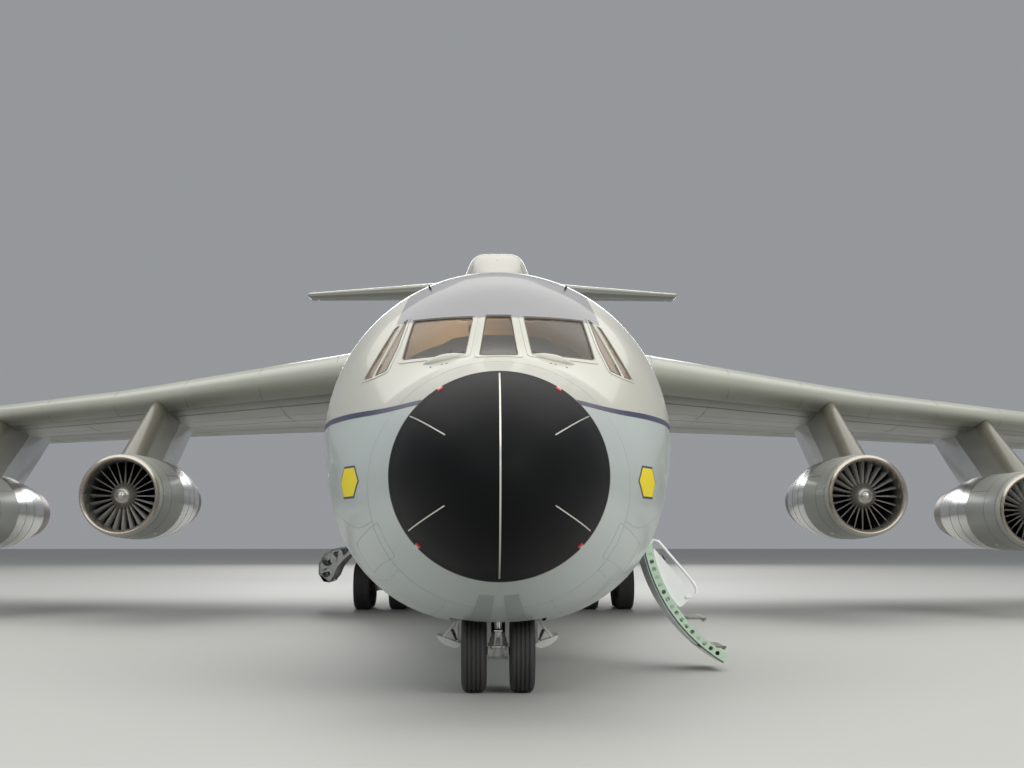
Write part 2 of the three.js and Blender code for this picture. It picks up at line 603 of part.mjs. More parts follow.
function pylonBody(row, side, [x, y, z]) {
  const { half, foot, head } = PYLON;
  const [, edgeY, , edgeZ, , incidence] = row;
  const ring = (from, to, height) => [
    [0, from], [half, from + 0.5], [half, to - 1.6], [0, to], [-half, to - 1.6], [-half, from + 0.5],
  ].map(([across, along]) => [x + across, along, height(along)]);
  const chordLine = (along) => edgeZ - Math.max(0, along - edgeY) * Math.tan(degrees(incidence));
  const body = loft([
    ring(y + foot[0], y + foot[1], () => z + 0.3),
    ring(edgeY + head[0], edgeY + head[1], chordLine),
  ]);
  const outside = COWL_OUTER.map(([along, radius]) => [along, radius + TOUCH]);
  const filledCowl = turned([[0, 0], ...outside, [5.6, 0]], COWL_SIDES);
  return cut(body, wingBody(side, TOUCH), filledCowl.translate([x, y, z].map((value) => value * MM)));
}
function addEngines() {
  const cowl = turned([...COWL_OUTER, ...COWL_INNER], COWL_SIDES, true);
  const engine = engineBody();
  const fan = fanBody();
  SIDES.forEach(([sideName, side]) => Object.entries(ENGINE_OUT).forEach(([place, out]) => {
    const row = rowAt(WING, out);
    const at = [side * out, row[1] - ENGINE_AHEAD, row[3] - ENGINE_BELOW];
    const name = `${sideName}_${place}`;
    addPiece(`cowl_${name}`, cowl, 'metal', at);
    addPiece(`engine_${name}`, engine, 'dark', at);
    addPiece(`fan_${name}`, fan, 'metal', at);
    addPiece(`pylon_${name}`, pylonBody(row, side, at), 'wing');
  }));
}

// Wheels: a pair of tyres on one axle, with a flat of each round resting on the ground.
const axleHeight = ({ radius }) => radius * Math.cos(Math.PI / ROUND_SIDES);
function wheelPair({ radius, width, apart, axle }) {
  const half = width / 2;
  const rim = radius * 0.5;
  const profile = [
    [-half * 0.8, 0], [-half * 0.95, rim], [-half, radius * 0.84], [-half * 0.6, radius],
    [half * 0.6, radius], [half, radius * 0.84], [half * 0.95, rim], [half * 0.8, 0],
  ];
  const wheels = [-1, 1].map((side) => turned(profile.map(([y, r]) => [y + (side * apart) / 2, r])));
  const pair = join(...wheels, rod([0, -apart / 2, 0], [0, apart / 2, 0], axle, ROUND_SIDES));
  const geometry = geometryOf(pair);
  geometry.rotateZ(Math.PI / 2);
  return solidOf(geometry);
}

function podBody(side) {
  return loft(POD.map(([y, x, half, z, tall]) => Array.from({ length: 16 }, (_, i) => {
    const angle = (2 * Math.PI * i) / 16;
    return [side * (x + half * Math.sin(angle)), y, z - tall * Math.cos(angle)];
  })));
}
function addMainGear() {
  const { x, y, axles, well, strut, beam } = MAIN_GEAR;
  const axleZ = axleHeight(MAIN_TYRE);
  const pair = wheelPair(MAIN_TYRE);
  SIDES.forEach(([name, side]) => {
    const wellBox = box([side * x - 0.24, side * x + 0.24], [y - 0.36, y + 0.36], [0.5, well]);
    addPiece(`gear_pod_${name}`, cut(podBody(side), fuselageBody(18, 30, -TOUCH), wellBox), 'upper');
    const axleY = [y - axles / 2, y + axles / 2];
    const column = rod([side * x, y, axleZ], [side * x, y, well - TOUCH], strut, 16);
    const beamY = [axleY[0] - 0.14, axleY[1] + 0.14];
    const bar = box([side * x - beam, side * x + beam], beamY, [axleZ - 0.12, axleZ + 0.12]);
    const bores = axleY.map((at) => (
      rod([side * x - 1, at, axleZ], [side * x + 1, at, axleZ], MAIN_TYRE.axle + RUNNING, ROUND_SIDES)
    ));
    addPiece(`main_gear_leg_${name}`, cut(join(column, bar), ...bores), 'gear');
    ['front', 'rear'].forEach((end, i) =>
      addPiece(`main_wheels_${name}_${end}`, pair, 'tyre', [side * x, axleY[i], axleZ]));
  });
}
function addNoseGear() {
  const { y, top, sleeve, sleeveEnd, piston, pistonTop, collar: collarRadius } = NOSE_GEAR;
  const axleZ = axleHeight(NOSE_TYRE);
  const bore = rod([0, y, 0.5], [0, y, pistonTop + RUNNING], piston + RUNNING, ROUND_SIDES);
  const column = rod([0, y, sleeveEnd], [0, y, top - TOUCH], sleeve, 16);
  const brace = rod([0, y + 0.1, 1.12], [0, y + 1.12, 1.34], 0.05, 8);
  const anchor = box([-0.12, 0.12], [y + 1.0, y + 1.2], [1.26, top - TOUCH]);
  addPiece('nose_gear_leg', cut(join(column, brace, anchor), bore), 'gear');
  const rodBody = rod([0, 0, 0.02], [0, 0, pistonTop - axleZ - 0.01], piston, ROUND_SIDES);
  const boss = rod([-0.1, 0, 0], [0.1, 0, 0], 0.1, 16);
  const collar = rod([0, 0, 0.36], [0, 0, sleeveEnd - axleZ - CLEAR], collarRadius, 16);
  const axleBore = rod([-1, 0, 0], [1, 0, 0], NOSE_TYRE.axle + RUNNING, ROUND_SIDES);
  addPiece('nose_gear_fork', cut(join(rodBody, boss, collar), axleBore), 'gear', [0, y, axleZ]);
  addPiece('nose_wheels', wheelPair(NOSE_TYRE), 'tyre', [0, y, axleZ]);
  SIDES.forEach(([name, side]) => {
    const parts = [
      [[0.43, 0.79], [0.46, 0.79], [0.46, 0.95], [0.43, 0.95]],
      [[0.43, 0.78], [0.61, 0.55], [0.64, 0.56], [0.46, 0.8]],
    ].map((outline) => prismAlongY(outline.map(([x, z]) => [side * x, z]), 4.34, NOSE_BAY.back - 0.02));
    const leaf = join(...parts);
    addPiece(`nose_gear_door_${name}`, cut(leaf, fuselageBody(3, 5.5, -TOUCH)), 'gear');
  });
}

addRadome();
addNose();
addFlightDeck();
addForwardFuselage();
addCentreFuselage();
addAftFuselage();
addTail();
addCargoFloor();
addWings();
addTailSurfaces();
addEngines();
addMainGear();
addNoseGear();

export default plane;
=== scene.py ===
# %% [markdown]
# # A half-scale military transport plane
# The CAD model fixes where every part is and how it moves. This lesson builds the looks around it: smooth
# skins, paint, glass, engines, wheels and the small things that make a large aircraft read as large.
# Loading the packed model comes first, because every later piece is placed by it.

# %% Load the packed model
import math

import bmesh
import bpy
from mathutils import Matrix, Vector


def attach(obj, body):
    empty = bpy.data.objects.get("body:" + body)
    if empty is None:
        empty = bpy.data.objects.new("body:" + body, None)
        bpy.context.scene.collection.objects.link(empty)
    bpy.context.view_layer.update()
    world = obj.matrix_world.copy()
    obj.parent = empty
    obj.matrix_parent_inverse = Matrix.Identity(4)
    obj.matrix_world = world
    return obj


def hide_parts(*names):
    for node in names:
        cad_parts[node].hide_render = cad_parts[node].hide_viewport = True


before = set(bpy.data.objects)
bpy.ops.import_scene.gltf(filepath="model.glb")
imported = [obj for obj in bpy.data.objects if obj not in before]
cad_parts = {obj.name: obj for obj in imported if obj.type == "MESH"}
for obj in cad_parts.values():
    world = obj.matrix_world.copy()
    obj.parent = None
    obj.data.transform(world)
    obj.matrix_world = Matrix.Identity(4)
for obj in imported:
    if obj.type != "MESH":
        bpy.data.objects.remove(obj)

scene = bpy.context.scene
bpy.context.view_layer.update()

# %% [markdown]
# The model is at 1:2, but an aircraft is easier to think about at full size. So every number below is a
# full-size length in metres: x out to the left wing, y aft of the nose tip, z above the ground. One function
# turns such a point into model metres when a mesh is made, and nothing else has to know the scale.

# %% Full-size lengths
SCALE = 0.5
LENGTH = 51.29
SIDES = (("left", 1), ("right", -1))
SKIN = 0.14


def to_model(point):
    x, y, z = point
    return (x * SCALE, (y - LENGTH / 2) * SCALE, z * SCALE)


def mix(a, b, share):
    return [p + share * (q - p) for p, q in zip(a, b)]


def steps(start, end, count):
    return [start + (end - start) * i / count for i in range(count + 1)]


def full_turn(count, phase=0):
    """Evenly spaced angles all the way round."""
    return [2 * math.pi * (i + phase) / count for i in range(count)]


print("full size", LENGTH, "m, model", LENGTH * SCALE, "m")


# %% Tables that are read between their rows
def row_at(table, key):
    """The table's row at a key, on straight lines between its rows."""
    pairs = list(zip(table, table[1:]))
    low, high = next((pair for pair in pairs if pair[1][0] >= key), pairs[-1])
    return mix(low, high, (key - low[0]) / (high[0] - low[0]))


def smooth_row(table, key):
    """The table's row at a key, on a smooth curve through its rows that never overshoots them."""
    spans = list(zip(table, table[1:]))
    index = next((i for i, pair in enumerate(spans) if pair[1][0] >= key), len(spans) - 1)
    low, high = spans[index]
    width = high[0] - low[0]
    t = (key - low[0]) / width
    row = [key]
    for column in range(1, len(low)):
        slopes = [(b[column] - a[column]) / (b[0] - a[0]) for a, b in spans]
        slopes = [slopes[0], *slopes, slopes[-1]]
        ends = []
        for a, b in (slopes[index:index + 2], slopes[index + 1:index + 3]):
            ends.append(2 * a * b / (a + b) if a * b > 0 else 0)
        row.append((2 * t**3 - 3 * t**2 + 1) * low[column] + (3 * t**2 - 2 * t**3) * high[column]
                   + width * ((t**3 - 2 * t**2 + t) * ends[0] + (t**3 - t**2) * ends[1]))
    return row


print("halfway between two rows:", row_at([[0, 1], [2, 5]], 1))

# %% [markdown]
# Most pieces are closed solids: a skin through rings, a turned part, a rod, a block or a thin strip that
# follows a surface. A small class collects such solids with their materials and makes them one mesh. It also
# turns the faces outwards and marks sharp edges, so a smooth surface stays smooth and a corner stays crisp.


# %% Objects and clean meshes
def link_object(name, data):
    made = bpy.data.objects.new(name, data)
    scene.collection.objects.link(made)
    return made


def clean_mesh(mesh, crease, merge=False):
    """Marks the edges that stay sharp, on request after closing the poles and turning the faces outwards."""
    work = bmesh.new()
    work.from_mesh(mesh)
    if merge:
        bmesh.ops.remove_doubles(work, verts=work.verts, dist=1e-5)
        bmesh.ops.dissolve_degenerate(work, edges=work.edges, dist=1e-6)
        bmesh.ops.recalc_face_normals(work, faces=work.faces)
    for face in work.faces:
        face.smooth = True
    for edge in work.edges:
        edge.smooth = len(edge.link_faces) == 2 and edge.calc_face_angle(0) < math.radians(crease)
    work.to_mesh(mesh)
    work.free()


print("mesh helpers ready")


# %% Collect solids into one mesh
class Shape:
    """Closed solids in full-size metres from an origin, each with its material, that become one mesh."""

    def __init__(self, origin=(0, 0, 0)):
        self.points, self.faces, self.looks, self.origin = [], [], [], origin

    def loft(self, rings, look, looped=False):
        """A skin through rings, capped at both ends or joined up, in one look or one for each gap."""
        count, size, start = len(rings), len(rings[0]), len(self.points)
        gaps = count if looped else count - 1
        looks = look if isinstance(look, list) else [look] * gaps
        self.points += [tuple(p + o for p, o in zip(point, self.origin)) for ring in rings for point in ring]
        for gap, gap_look in zip(range(gaps), looks):
            here, after = start + gap * size, start + (gap + 1) % count * size
            for i in range(size):
                j = (i + 1) % size
                self.faces.append([here + i, here + j, after + j, after + i])
                self.looks.append(gap_look)
        if not looped:
            self.faces += [list(range(start, start + size)),
                           list(range(start + gaps * size, start + count * size))]
            self.looks += [looks[0], looks[-1]]
        return self

    def box(self, xs, ys, zs, look):
        x0, x1 = sorted(xs)
        ring = [(x0, zs[0]), (x1, zs[0]), (x1, zs[1]), (x0, zs[1])]
        return self.loft([[(x, y, z) for x, z in ring] for y in ys], look)

    def prism(self, outline, push, look):
        """A flat outline of points, pushed along a vector."""
        far = [tuple(Vector(point) + Vector(push)) for point in outline]
        return self.loft([list(outline), far], look)

    def side_view(self, outline, x0, x1, look):
        """An outline of (y, z) points, pushed from one x to another."""
        return self.prism([(x0, y, z) for y, z in outline], (x1 - x0, 0, 0), look)

    def sweep(self, path, radii, look, sides=12):
        """A round tube along a path, with one radius or one for each point."""
        path = [Vector(point) for point in path]
        radii = radii if isinstance(radii, (list, tuple)) else [radii] * len(path)
        side = None
        rings = []
        for i, (point, radius) in enumerate(zip(path, radii)):
            along = (path[min(i + 1, len(path) - 1)] - path[max(i - 1, 0)]).normalized()
            side = along.orthogonal() if side is None else side - along * side.dot(along)
            side.normalize()
            up = along.cross(side)
            rings.append([point + (side * math.cos(a) + up * math.sin(a)) * radius for a in full_turn(sides)])
        return self.loft(rings, look)

    def rod(self, start, end, radius, look, sides=16):
        return self.sweep([start, end], radius, look, sides)

    def turned(self, profile, centre, look, axis="y", sides=48, looped=False):
        """A turned part: (along, radius) pairs about an axis through the centre."""
        x, y, z = centre
        rings = []
        for along, radius in profile:
            ring = []
            for a in full_turn(sides, 0.5):
                u, v = radius * math.sin(a), -radius * math.cos(a)
                spot = {"y": (u, along, v), "x": (along, u, v), "z": (u, v, along)}[axis]
                ring.append((x + spot[0], y + spot[1], z + spot[2]))
            rings.append(ring)
        return self.loft(rings, look, looped)

    def ribbon(self, spots, width, height, look, looped=False, depth=0.012):
        """A thin raised strip along (point, normal) spots of a surface."""
        spots = [(Vector(point), Vector(normal)) for point, normal in spots]
        last = len(spots) - 1
        rings = []
        for i, (point, normal) in enumerate(spots):
            before, after = (i - 1, (i + 1) % (last + 1)) if looped else (max(i - 1, 0), min(i + 1, last))
            side = (spots[after][0] - spots[before][0]).cross(normal).normalized() * (width / 2)
            top, foot = normal * height, normal * -depth
            rings.append([point - side + foot, point - side + top, point + side + top, point + side + foot])
        return self.loft(rings, look, looped)

    def piece(self, name, crease=35):
        mesh = bpy.data.meshes.new(name)
        mesh.from_pydata([to_model(point) for point in self.points], [], self.faces)
        finishes = list(dict.fromkeys(self.looks))
        for finish in finishes:
            mesh.materials.append(finish)
        for face, look in zip(mesh.polygons, self.looks):
            face.material_index = finishes.index(look)
        clean_mesh(mesh, crease, merge=True)
        return link_object(name, mesh)

    def place(self, name, slot, *stands_for, body="airframe", crease=35):
        return place(self.piece(name, crease), slot, *stands_for, body=body)


print("a shape can be", [way for way in vars(Shape) if not way.startswith("_")])


# %% Hand a piece to the CAD frame
def place(piece, slot, *stands_for, body="airframe"):
    """Says which body a piece rides on and the CAD nodes it stands for. The slot is not used."""
    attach(piece, body)
    if stands_for:
        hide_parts(*stands_for)
    triangles = sum(len(face.vertices) - 2 for face in piece.data.polygons)
    print(f"{piece.name}: {triangles} triangles on {body}")
    return piece


print("pieces go to the frame's bodies")

# %% [markdown]
# Some shapes need a modifier: a boolean cut for a window, a bevel for a soft edge. The result is taken as a
# plain mesh and the modifier is removed, because the finished piece has to be an ordinary mesh at the origin.


# %% Turn modifiers into plain meshes
def settle_modifiers(piece, crease=35):
    evaluated = piece.evaluated_get(bpy.context.evaluated_depsgraph_get())
    mesh = bpy.data.meshes.new_from_object(evaluated)
    piece.modifiers.clear()
    piece.data = mesh
    clean_mesh(mesh, crease)
    return piece


def carve(piece, cutter, operation="DIFFERENCE"):
    """Cuts a shape out of a piece, or keeps only what both share. Cut faces take the cutter's look."""
    tool = cutter.piece("cutter")
    modifier = piece.modifiers.new("carve", "BOOLEAN")
    modifier.object, modifier.operation, modifier.solver = tool, operation, "EXACT"
    modifier.material_mode = "TRANSFER"
    settle_modifiers(piece)
    bpy.data.objects.remove(tool)
    return piece


def soften(piece, width, segments):
    """Rounds the hard edges of a piece."""
    modifier = piece.modifiers.new("soften", "BEVEL")
    modifier.width, modifier.segments, modifier.limit_method = width * SCALE, segments, "ANGLE"
    modifier.angle_limit = math.radians(40)
    return settle_modifiers(piece, 50)


def join_pieces(name, pieces):
    """Several meshes as one piece."""
    with bpy.context.temp_override(active_object=pieces[0], selected_editable_objects=pieces):
        bpy.ops.object.join()
    pieces[0].name = pieces[0].data.name = name
    return pieces[0]


def copy_piece(piece, name, move):
    """A copy moved by a full-size step."""
    mesh = piece.data.copy()
    mesh.transform(Matrix.Translation(Vector(move) * SCALE))
    return link_object(name, mesh)


print("modifier helpers ready")

# %% [markdown]
# ## Finishes
# Paint on an aircraft is never one flat colour. It fades in patches, collects dirt in streaks and is worn a
# little along the seams. One helper gives every finish a slow colour change, fine grain and uneven gloss, all
# from noise on Object coordinates, so the pattern keeps its real scale. Each finish has its own numbers.


# %% A helper for node materials
def link_nodes(tree, kind, inputs=(), **settings):
    """A node with its settings, and with values or other nodes' outputs in its inputs."""
    node = tree.nodes.new(kind)
    for key, value in settings.items():
        setattr(node, key, value)
    for socket, value in dict(inputs).items():
        if isinstance(value, bpy.types.NodeSocket):
            tree.links.new(value, node.inputs[socket])
        else:
            node.inputs[socket].default_value = value
    return node


def blend_colours(tree, share, first, second):
    first, second = [(*colour, 1) if isinstance(colour, tuple) else colour for colour in (first, second)]
    return link_nodes(tree, "ShaderNodeMix", {0: share, 6: first, 7: second}, data_type="RGBA").outputs[2]


def math_node(tree, operation, *values, clamp=False):
    inputs = dict(enumerate(values))
    return link_nodes(tree, "ShaderNodeMath", inputs, operation=operation, use_clamp=clamp).outputs[0]


def noise(tree, coords, scale, detail, stretch=(1, 1, 1)):
    spread = link_nodes(tree, "ShaderNodeMapping", {0: coords, 3: stretch}).outputs[0]
    inputs = {"Vector": spread, "Scale": scale, "Detail": detail}
    return link_nodes(tree, "ShaderNodeTexNoise", inputs).outputs[0]


print("node helpers ready")


# %% One worn finish
def start_finish(name, roughness, metallic=0.0, coat=0.0):
    finish = bpy.data.materials.new(name)
    finish.use_nodes = True
    tree = finish.node_tree
    shader = tree.nodes["Principled BSDF"]
    for socket, value in (("Metallic", metallic), ("Roughness", roughness), ("Coat Weight", coat)):
        shader.inputs[socket].default_value = value
    coords = tree.nodes.new("ShaderNodeTexCoord").outputs["Object"]
    return finish, tree, shader, coords


DIRT = (0.12, 0.1, 0.08)


def add_wear(tree, shader, coords, colour, patch=0.12, grain=90.0, streak=0.0, dirt=DIRT, bump=0.15):
    """Slow patches, fine grain and streaks over a colour, uneven gloss and a fine bump."""
    slow = noise(tree, coords, 0.7, 5.0)
    shade = math_node(tree, "MULTIPLY_ADD", math_node(tree, "SUBTRACT", slow, 0.5), patch * 2, 1.0)
    toned = link_nodes(tree, "ShaderNodeVectorMath", {0: colour, 3: shade}, operation="SCALE").outputs[0]
    if streak:
        runs = noise(tree, coords, 3.0, 6.0, (3, 3, 0.35))
        above = math_node(tree, "SUBTRACT", runs, 0.52, clamp=True)
        amount = math_node(tree, "MULTIPLY", above, streak * 6, clamp=True)
        toned = blend_colours(tree, amount, toned, dirt)
    tree.links.new(toned, shader.inputs["Base Color"])
    fine = noise(tree, coords, grain, 2.0)
    gloss = shader.inputs["Roughness"].default_value
    uneven = link_nodes(tree, "ShaderNodeMapRange", {0: slow, 3: gloss * 0.8, 4: min(1.0, gloss * 1.25)})
    tree.links.new(uneven.outputs[0], shader.inputs["Roughness"])
    raised = link_nodes(tree, "ShaderNodeBump", {"Strength": bump, "Distance": 0.002, "Height": fine})
    tree.links.new(raised.outputs[0], shader.inputs["Normal"])


def finish_of(name, colour, roughness, metallic=0.0, coat=0.0, **wear):
    finish, tree, shader, coords = start_finish(name, roughness, metallic, coat)
    add_wear(tree, shader, coords, colour, **wear)
    return finish


print("every finish has wear of its own")

# %% [markdown]
# The hull carries two paints. The upper one is a warm white, the lower one a pale blue-grey, and they meet at
# the dark stripe that runs along the side. The border is a height above the ground, so it is worked out from
# the height in Object coordinates. A darker panel on the roof above the windows comes from the same trick.

# %% Hull paint
STRIPE_LOW, STRIPE_HIGH = 3.0, 3.065
TAIL_RISE, TAIL_RISE_FROM = 0.13, 36.0
ROOF_LOW, ROOF_BACK, ROOF_HALF, ROOF_LEAN = 4.16, 6.1, 1.19, 0.2
CREAM, BLUE_GREY, ROOF_GREY = (0.48, 0.48, 0.415), (0.44, 0.49, 0.475), (0.165, 0.165, 0.175)


def step_up(tree, value, edge, width=0.004):
    return link_nodes(tree, "ShaderNodeMapRange", {0: value, 1: edge - width, 2: edge + width}).outputs[0]


def make_hull_paint():
    finish, tree, shader, coords = start_finish("hull_paint", 0.32, coat=0.3)
    axes = link_nodes(tree, "ShaderNodeSeparateXYZ", {0: coords})
    across, along, height = axes.outputs
    aft = math_node(tree, "SUBTRACT", along, (TAIL_RISE_FROM - LENGTH / 2) * SCALE)
    past = math_node(tree, "MAXIMUM", aft, 0.0)
    stripe_height = math_node(tree, "SUBTRACT", height, math_node(tree, "MULTIPLY", past, TAIL_RISE))
    colour = blend_colours(tree, step_up(tree, stripe_height, STRIPE_LOW * SCALE), BLUE_GREY, CREAM)
    lean = math_node(tree, "MULTIPLY", math_node(tree, "SUBTRACT", height, ROOF_LOW * SCALE), ROOF_LEAN)
    width = math_node(tree, "ADD", math_node(tree, "ABSOLUTE", across), lean)
    roof = step_up(tree, height, ROOF_LOW * SCALE)
    for distance, limit in ((width, ROOF_HALF), (along, ROOF_BACK - LENGTH / 2)):
        inside = step_up(tree, math_node(tree, "MULTIPLY", distance, -1.0), -limit * SCALE)
        roof = math_node(tree, "MULTIPLY", roof, inside)
    colour = blend_colours(tree, roof, colour, ROOF_GREY)
    add_wear(tree, shader, coords, colour, patch=0.07, streak=0.035, dirt=(0.3, 0.3, 0.28))
    return finish


HULL = make_hull_paint()
print("hull paint with", len(HULL.node_tree.nodes), "nodes")

# %% Other paints, metals and fittings
WING_GREY = finish_of("wing_paint", (0.17, 0.165, 0.13), 0.34, 0.2, coat=0.2, patch=0.12, streak=0.05)
EDGE_GREY = finish_of("leading_edge_grey", (0.36, 0.37, 0.32), 0.36, coat=0.2, patch=0.12, streak=0.04)
FAIRING_GREY = finish_of("fairing_grey", (0.42, 0.405, 0.36), 0.36, coat=0.2, patch=0.08, streak=0.04)
POD_PAINT = finish_of("pod_blue_grey", BLUE_GREY, 0.35, coat=0.2, patch=0.08, streak=0.06)
# Closed door plates under the nose: a darker copy of the lower blue-grey, painted shade of plates that face
# down.
BELLY_DOOR_SHADE = finish_of("belly_patch", (0.32, 0.36, 0.35), 0.45, patch=0.25)
BAY_GREEN = finish_of("bay_green", (0.1, 0.12, 0.09), 0.55, patch=0.2, streak=0.05)
DUCT_GREY = finish_of("duct_grey", (0.2, 0.2, 0.2), 0.35, 0.7, patch=0.2)
HUB_METAL = finish_of("hub_metal", (0.4, 0.39, 0.37), 0.3, 0.8, patch=0.12)
FAN_DARK = finish_of("fan_metal", (0.12, 0.12, 0.125), 0.4, 0.9, patch=0.25)
RADOME_BLACK = finish_of("radome_rubber_paint", (0.006, 0.0065, 0.007), 0.55, patch=0.5, grain=160,
                         streak=0.01, dirt=(0.02, 0.018, 0.016), bump=0.3)
RADOME_BLACK.node_tree.nodes["Principled BSDF"].inputs["Specular IOR Level"].default_value = 0.07
HULL_SEAM = finish_of("hull_seam", (0.37, 0.4, 0.385), 0.6, patch=0.3)
STRIP_METAL = finish_of("strip_metal", (0.7, 0.68, 0.62), 0.35, 0.8, patch=0.2)
STRIPE_NAVY = finish_of("stripe_navy", (0.035, 0.035, 0.085), 0.35, patch=0.2)
SEAM_DARK = finish_of("seam_shadow", (0.16, 0.16, 0.155), 0.6, patch=0.3)
SEAL_BLACK = finish_of("window_seal", (0.03, 0.03, 0.032), 0.7, patch=0.3, grain=200)
SEAL_BROWN = finish_of("pane_edge", (0.2, 0.17, 0.14), 0.6, patch=0.2)
BADGE_YELLOW = finish_of("badge_yellow", (0.84, 0.68, 0.0), 0.35, patch=0.06)
TAG_RED = finish_of("tag_red", (0.55, 0.03, 0.03), 0.5, patch=0.1)
POLISHED = finish_of("bare_lip", (0.5, 0.455, 0.4), 0.26, 0.9, patch=0.1, grain=220, bump=0.05)
BARE_METAL = finish_of("bare_metal", (0.46, 0.46, 0.44), 0.2, 1.0, patch=0.2, streak=0.06, bump=0.1)
NACELLE_PAINT = finish_of("nacelle_paint", (0.30, 0.31, 0.285), 0.42, 0.2, coat=0.08, patch=0.08, streak=0.04)
HOT_METAL = finish_of("hot_metal", (0.23, 0.2, 0.17), 0.42, 0.9, patch=0.35, streak=0.1,
                      dirt=(0.05, 0.045, 0.05))
BLADE_METAL = finish_of("blade_metal", (0.62, 0.61, 0.57), 0.4, 0.3, patch=0.25)
DARK_METAL = finish_of("dark_metal", (0.07, 0.07, 0.075), 0.5, 0.6, patch=0.3)
GEAR_WHITE = finish_of("gear_white", (0.74, 0.74, 0.71), 0.3, coat=0.2, patch=0.1, streak=0.08)
CHROME = finish_of("oleo_chrome", (0.75, 0.75, 0.76), 0.1, 1.0, patch=0.05, bump=0.02)
PRIMER = finish_of("primer_green", (0.16, 0.26, 0.13), 0.5, patch=0.15, streak=0.06)
MINT = finish_of("mint_frame_paint", (0.5, 0.66, 0.52), 0.5, patch=0.12, streak=0.05)
PANEL_WHITE = finish_of("panel_white", (0.84, 0.86, 0.85), 0.4, coat=0.1, patch=0.06)
DOOR_CREAM = finish_of("door_cream", CREAM, 0.32, coat=0.3, patch=0.07)
SEAT_CLOTH = finish_of("seat_weave", (0.13, 0.12, 0.1), 0.9, patch=0.15, grain=420, bump=0.6)
COCKPIT_CREAM = finish_of("cockpit_cream", (0.42, 0.31, 0.2), 0.6, patch=0.08, grain=140)
COCKPIT_DARK = finish_of("glareshield_dark", (0.025, 0.024, 0.023), 0.75, patch=0.3, grain=260, bump=0.4)
DIAL_GLASS = finish_of("dial_face", (0.02, 0.022, 0.024), 0.15, coat=0.5, patch=0.1)
LAMP_GLASS = finish_of("lamp_glass", (0.75, 0.75, 0.72), 0.12, coat=0.6, patch=0.05)
LAMP_RED = finish_of("lamp_red", (0.5, 0.015, 0.01), 0.12, coat=0.8, patch=0.05)
LAMP_GREEN = finish_of("lamp_green", (0.01, 0.32, 0.06), 0.12, coat=0.8, patch=0.05)
FLOOR_METAL = finish_of("floor_metal", (0.2, 0.205, 0.2), 0.5, 0.5, patch=0.25, streak=0.05)
LINING = finish_of("hold_lining", (0.32, 0.34, 0.29), 0.75, patch=0.12, grain=60, bump=0.5)
print(len(bpy.data.materials), "finishes")

# %% [markdown]
# Tyre rubber is nearly black with greyer, dusty patches, so noise blends two dark colours. Window glass lets
# most light through with a slight warm tint, and faint smears make its gloss uneven. Each is a few lines.


# %% Rubber and glass
def make_rubber():
    finish, tree, shader, coords = start_finish("tyre_rubber", 0.72)
    dusty = noise(tree, coords, 4.0, 8.0)
    colour = blend_colours(tree, dusty, (0.016, 0.016, 0.017), (0.05, 0.048, 0.045))
    add_wear(tree, shader, coords, colour, patch=0.2, grain=260, bump=0.45)
    return finish


def make_glass():
    finish, tree, shader, coords = start_finish("window_glass", 0.03)
    smear = noise(tree, coords, 9.0, 5.0)
    uneven = link_nodes(tree, "ShaderNodeMapRange", {0: smear, 3: 0.01, 4: 0.04})
    tree.links.new(uneven.outputs[0], shader.inputs["Roughness"])
    shader.inputs["Base Color"].default_value = (0.53, 0.5, 0.43, 1)
    shader.inputs["Transmission Weight"].default_value = 1.0
    shader.inputs["IOR"].default_value = 1.25
    return finish


RUBBER, GLASS = make_rubber(), make_glass()
SHADED_GLASS = finish_of("shaded_glass", (0.2, 0.14, 0.095), 0.38, coat=0.2, patch=0.12)
print("rubber and glass ready")

# %% [markdown]
# ## The hull
# The fuselage is a long tube that tapers into a blunt nose and an upswept tail. The CAD has it as flat
# facets. Here the same table of widths and heights gives smooth rings, so the skin curves as sheet metal
# does. A point of the skin is found from its distance along the hull and its angle from the belly.

# %% Hull shape
HULL_ROWS = [
    [1.75, 1.1, 1.255, 3.345], [2.9, 1.52, 0.83, 3.66], [3.75, 1.8, 0.73, 4.2], [4.8, 2.04, 0.685, 4.76],
    [5.9, 2.16, 0.72, 5.04], [31.0, 2.16, 0.72, 5.04], [37.2, 2.1, 1.55, 5.04], [46.0, 0.95, 3.45, 4.85],
    [48.0, 0.35, 4.15, 4.7],
]
SPLIT = {"nose": 1.75, "forward": 5.9, "centre": 13.5, "aft": 28.5, "tail": 37.2, "end": 48.0}
RING_POINTS = 120
BEND_REACH = 1.0
NOSE_FULLNESS = 0.13


def hull_row(y):
    """Half width, lowest and highest point of the hull, with its bends eased over a metre each way."""
    if y < SPLIT["forward"]:
        return smooth_row(HULL_ROWS, y)[1:]
    if y < 8 or y > SPLIT["end"] - BEND_REACH:
        return row_at(HULL_ROWS, y)[1:]
    rows = [row_at(HULL_ROWS, y + share * BEND_REACH)[1:] for share in steps(-1, 1, 8)]
    return [sum(row[i] for row in rows) / len(rows) for i in range(3)]


def fullness(y, below):
    """The power that makes the lower half of the nose fuller than an ellipse; 1 leaves it an ellipse."""
    share = min(1, max(0, (y - SPLIT["nose"]) / 1.5)) * min(1, max(0, (SPLIT["forward"] - y) / 1.5))
    return 1 - NOSE_FULLNESS * share * share * (3 - 2 * share) if below else 1


print("hull at 5.9 m:", [round(v, 3) for v in hull_row(5.9)])


# %% Places on the skin
def hull_point(y, angle, out=0.0):
    half, low, high = hull_row(y)
    middle, reach = (low + high) / 2, (high - low) / 2
    sin, cos = math.sin(angle), math.cos(angle)
    power = fullness(y, cos > 0)
    across, down = math.copysign(abs(sin) ** power, sin), math.copysign(abs(cos) ** power, cos)
    return Vector(((half + out) * across, y, middle - (reach + out) * down))


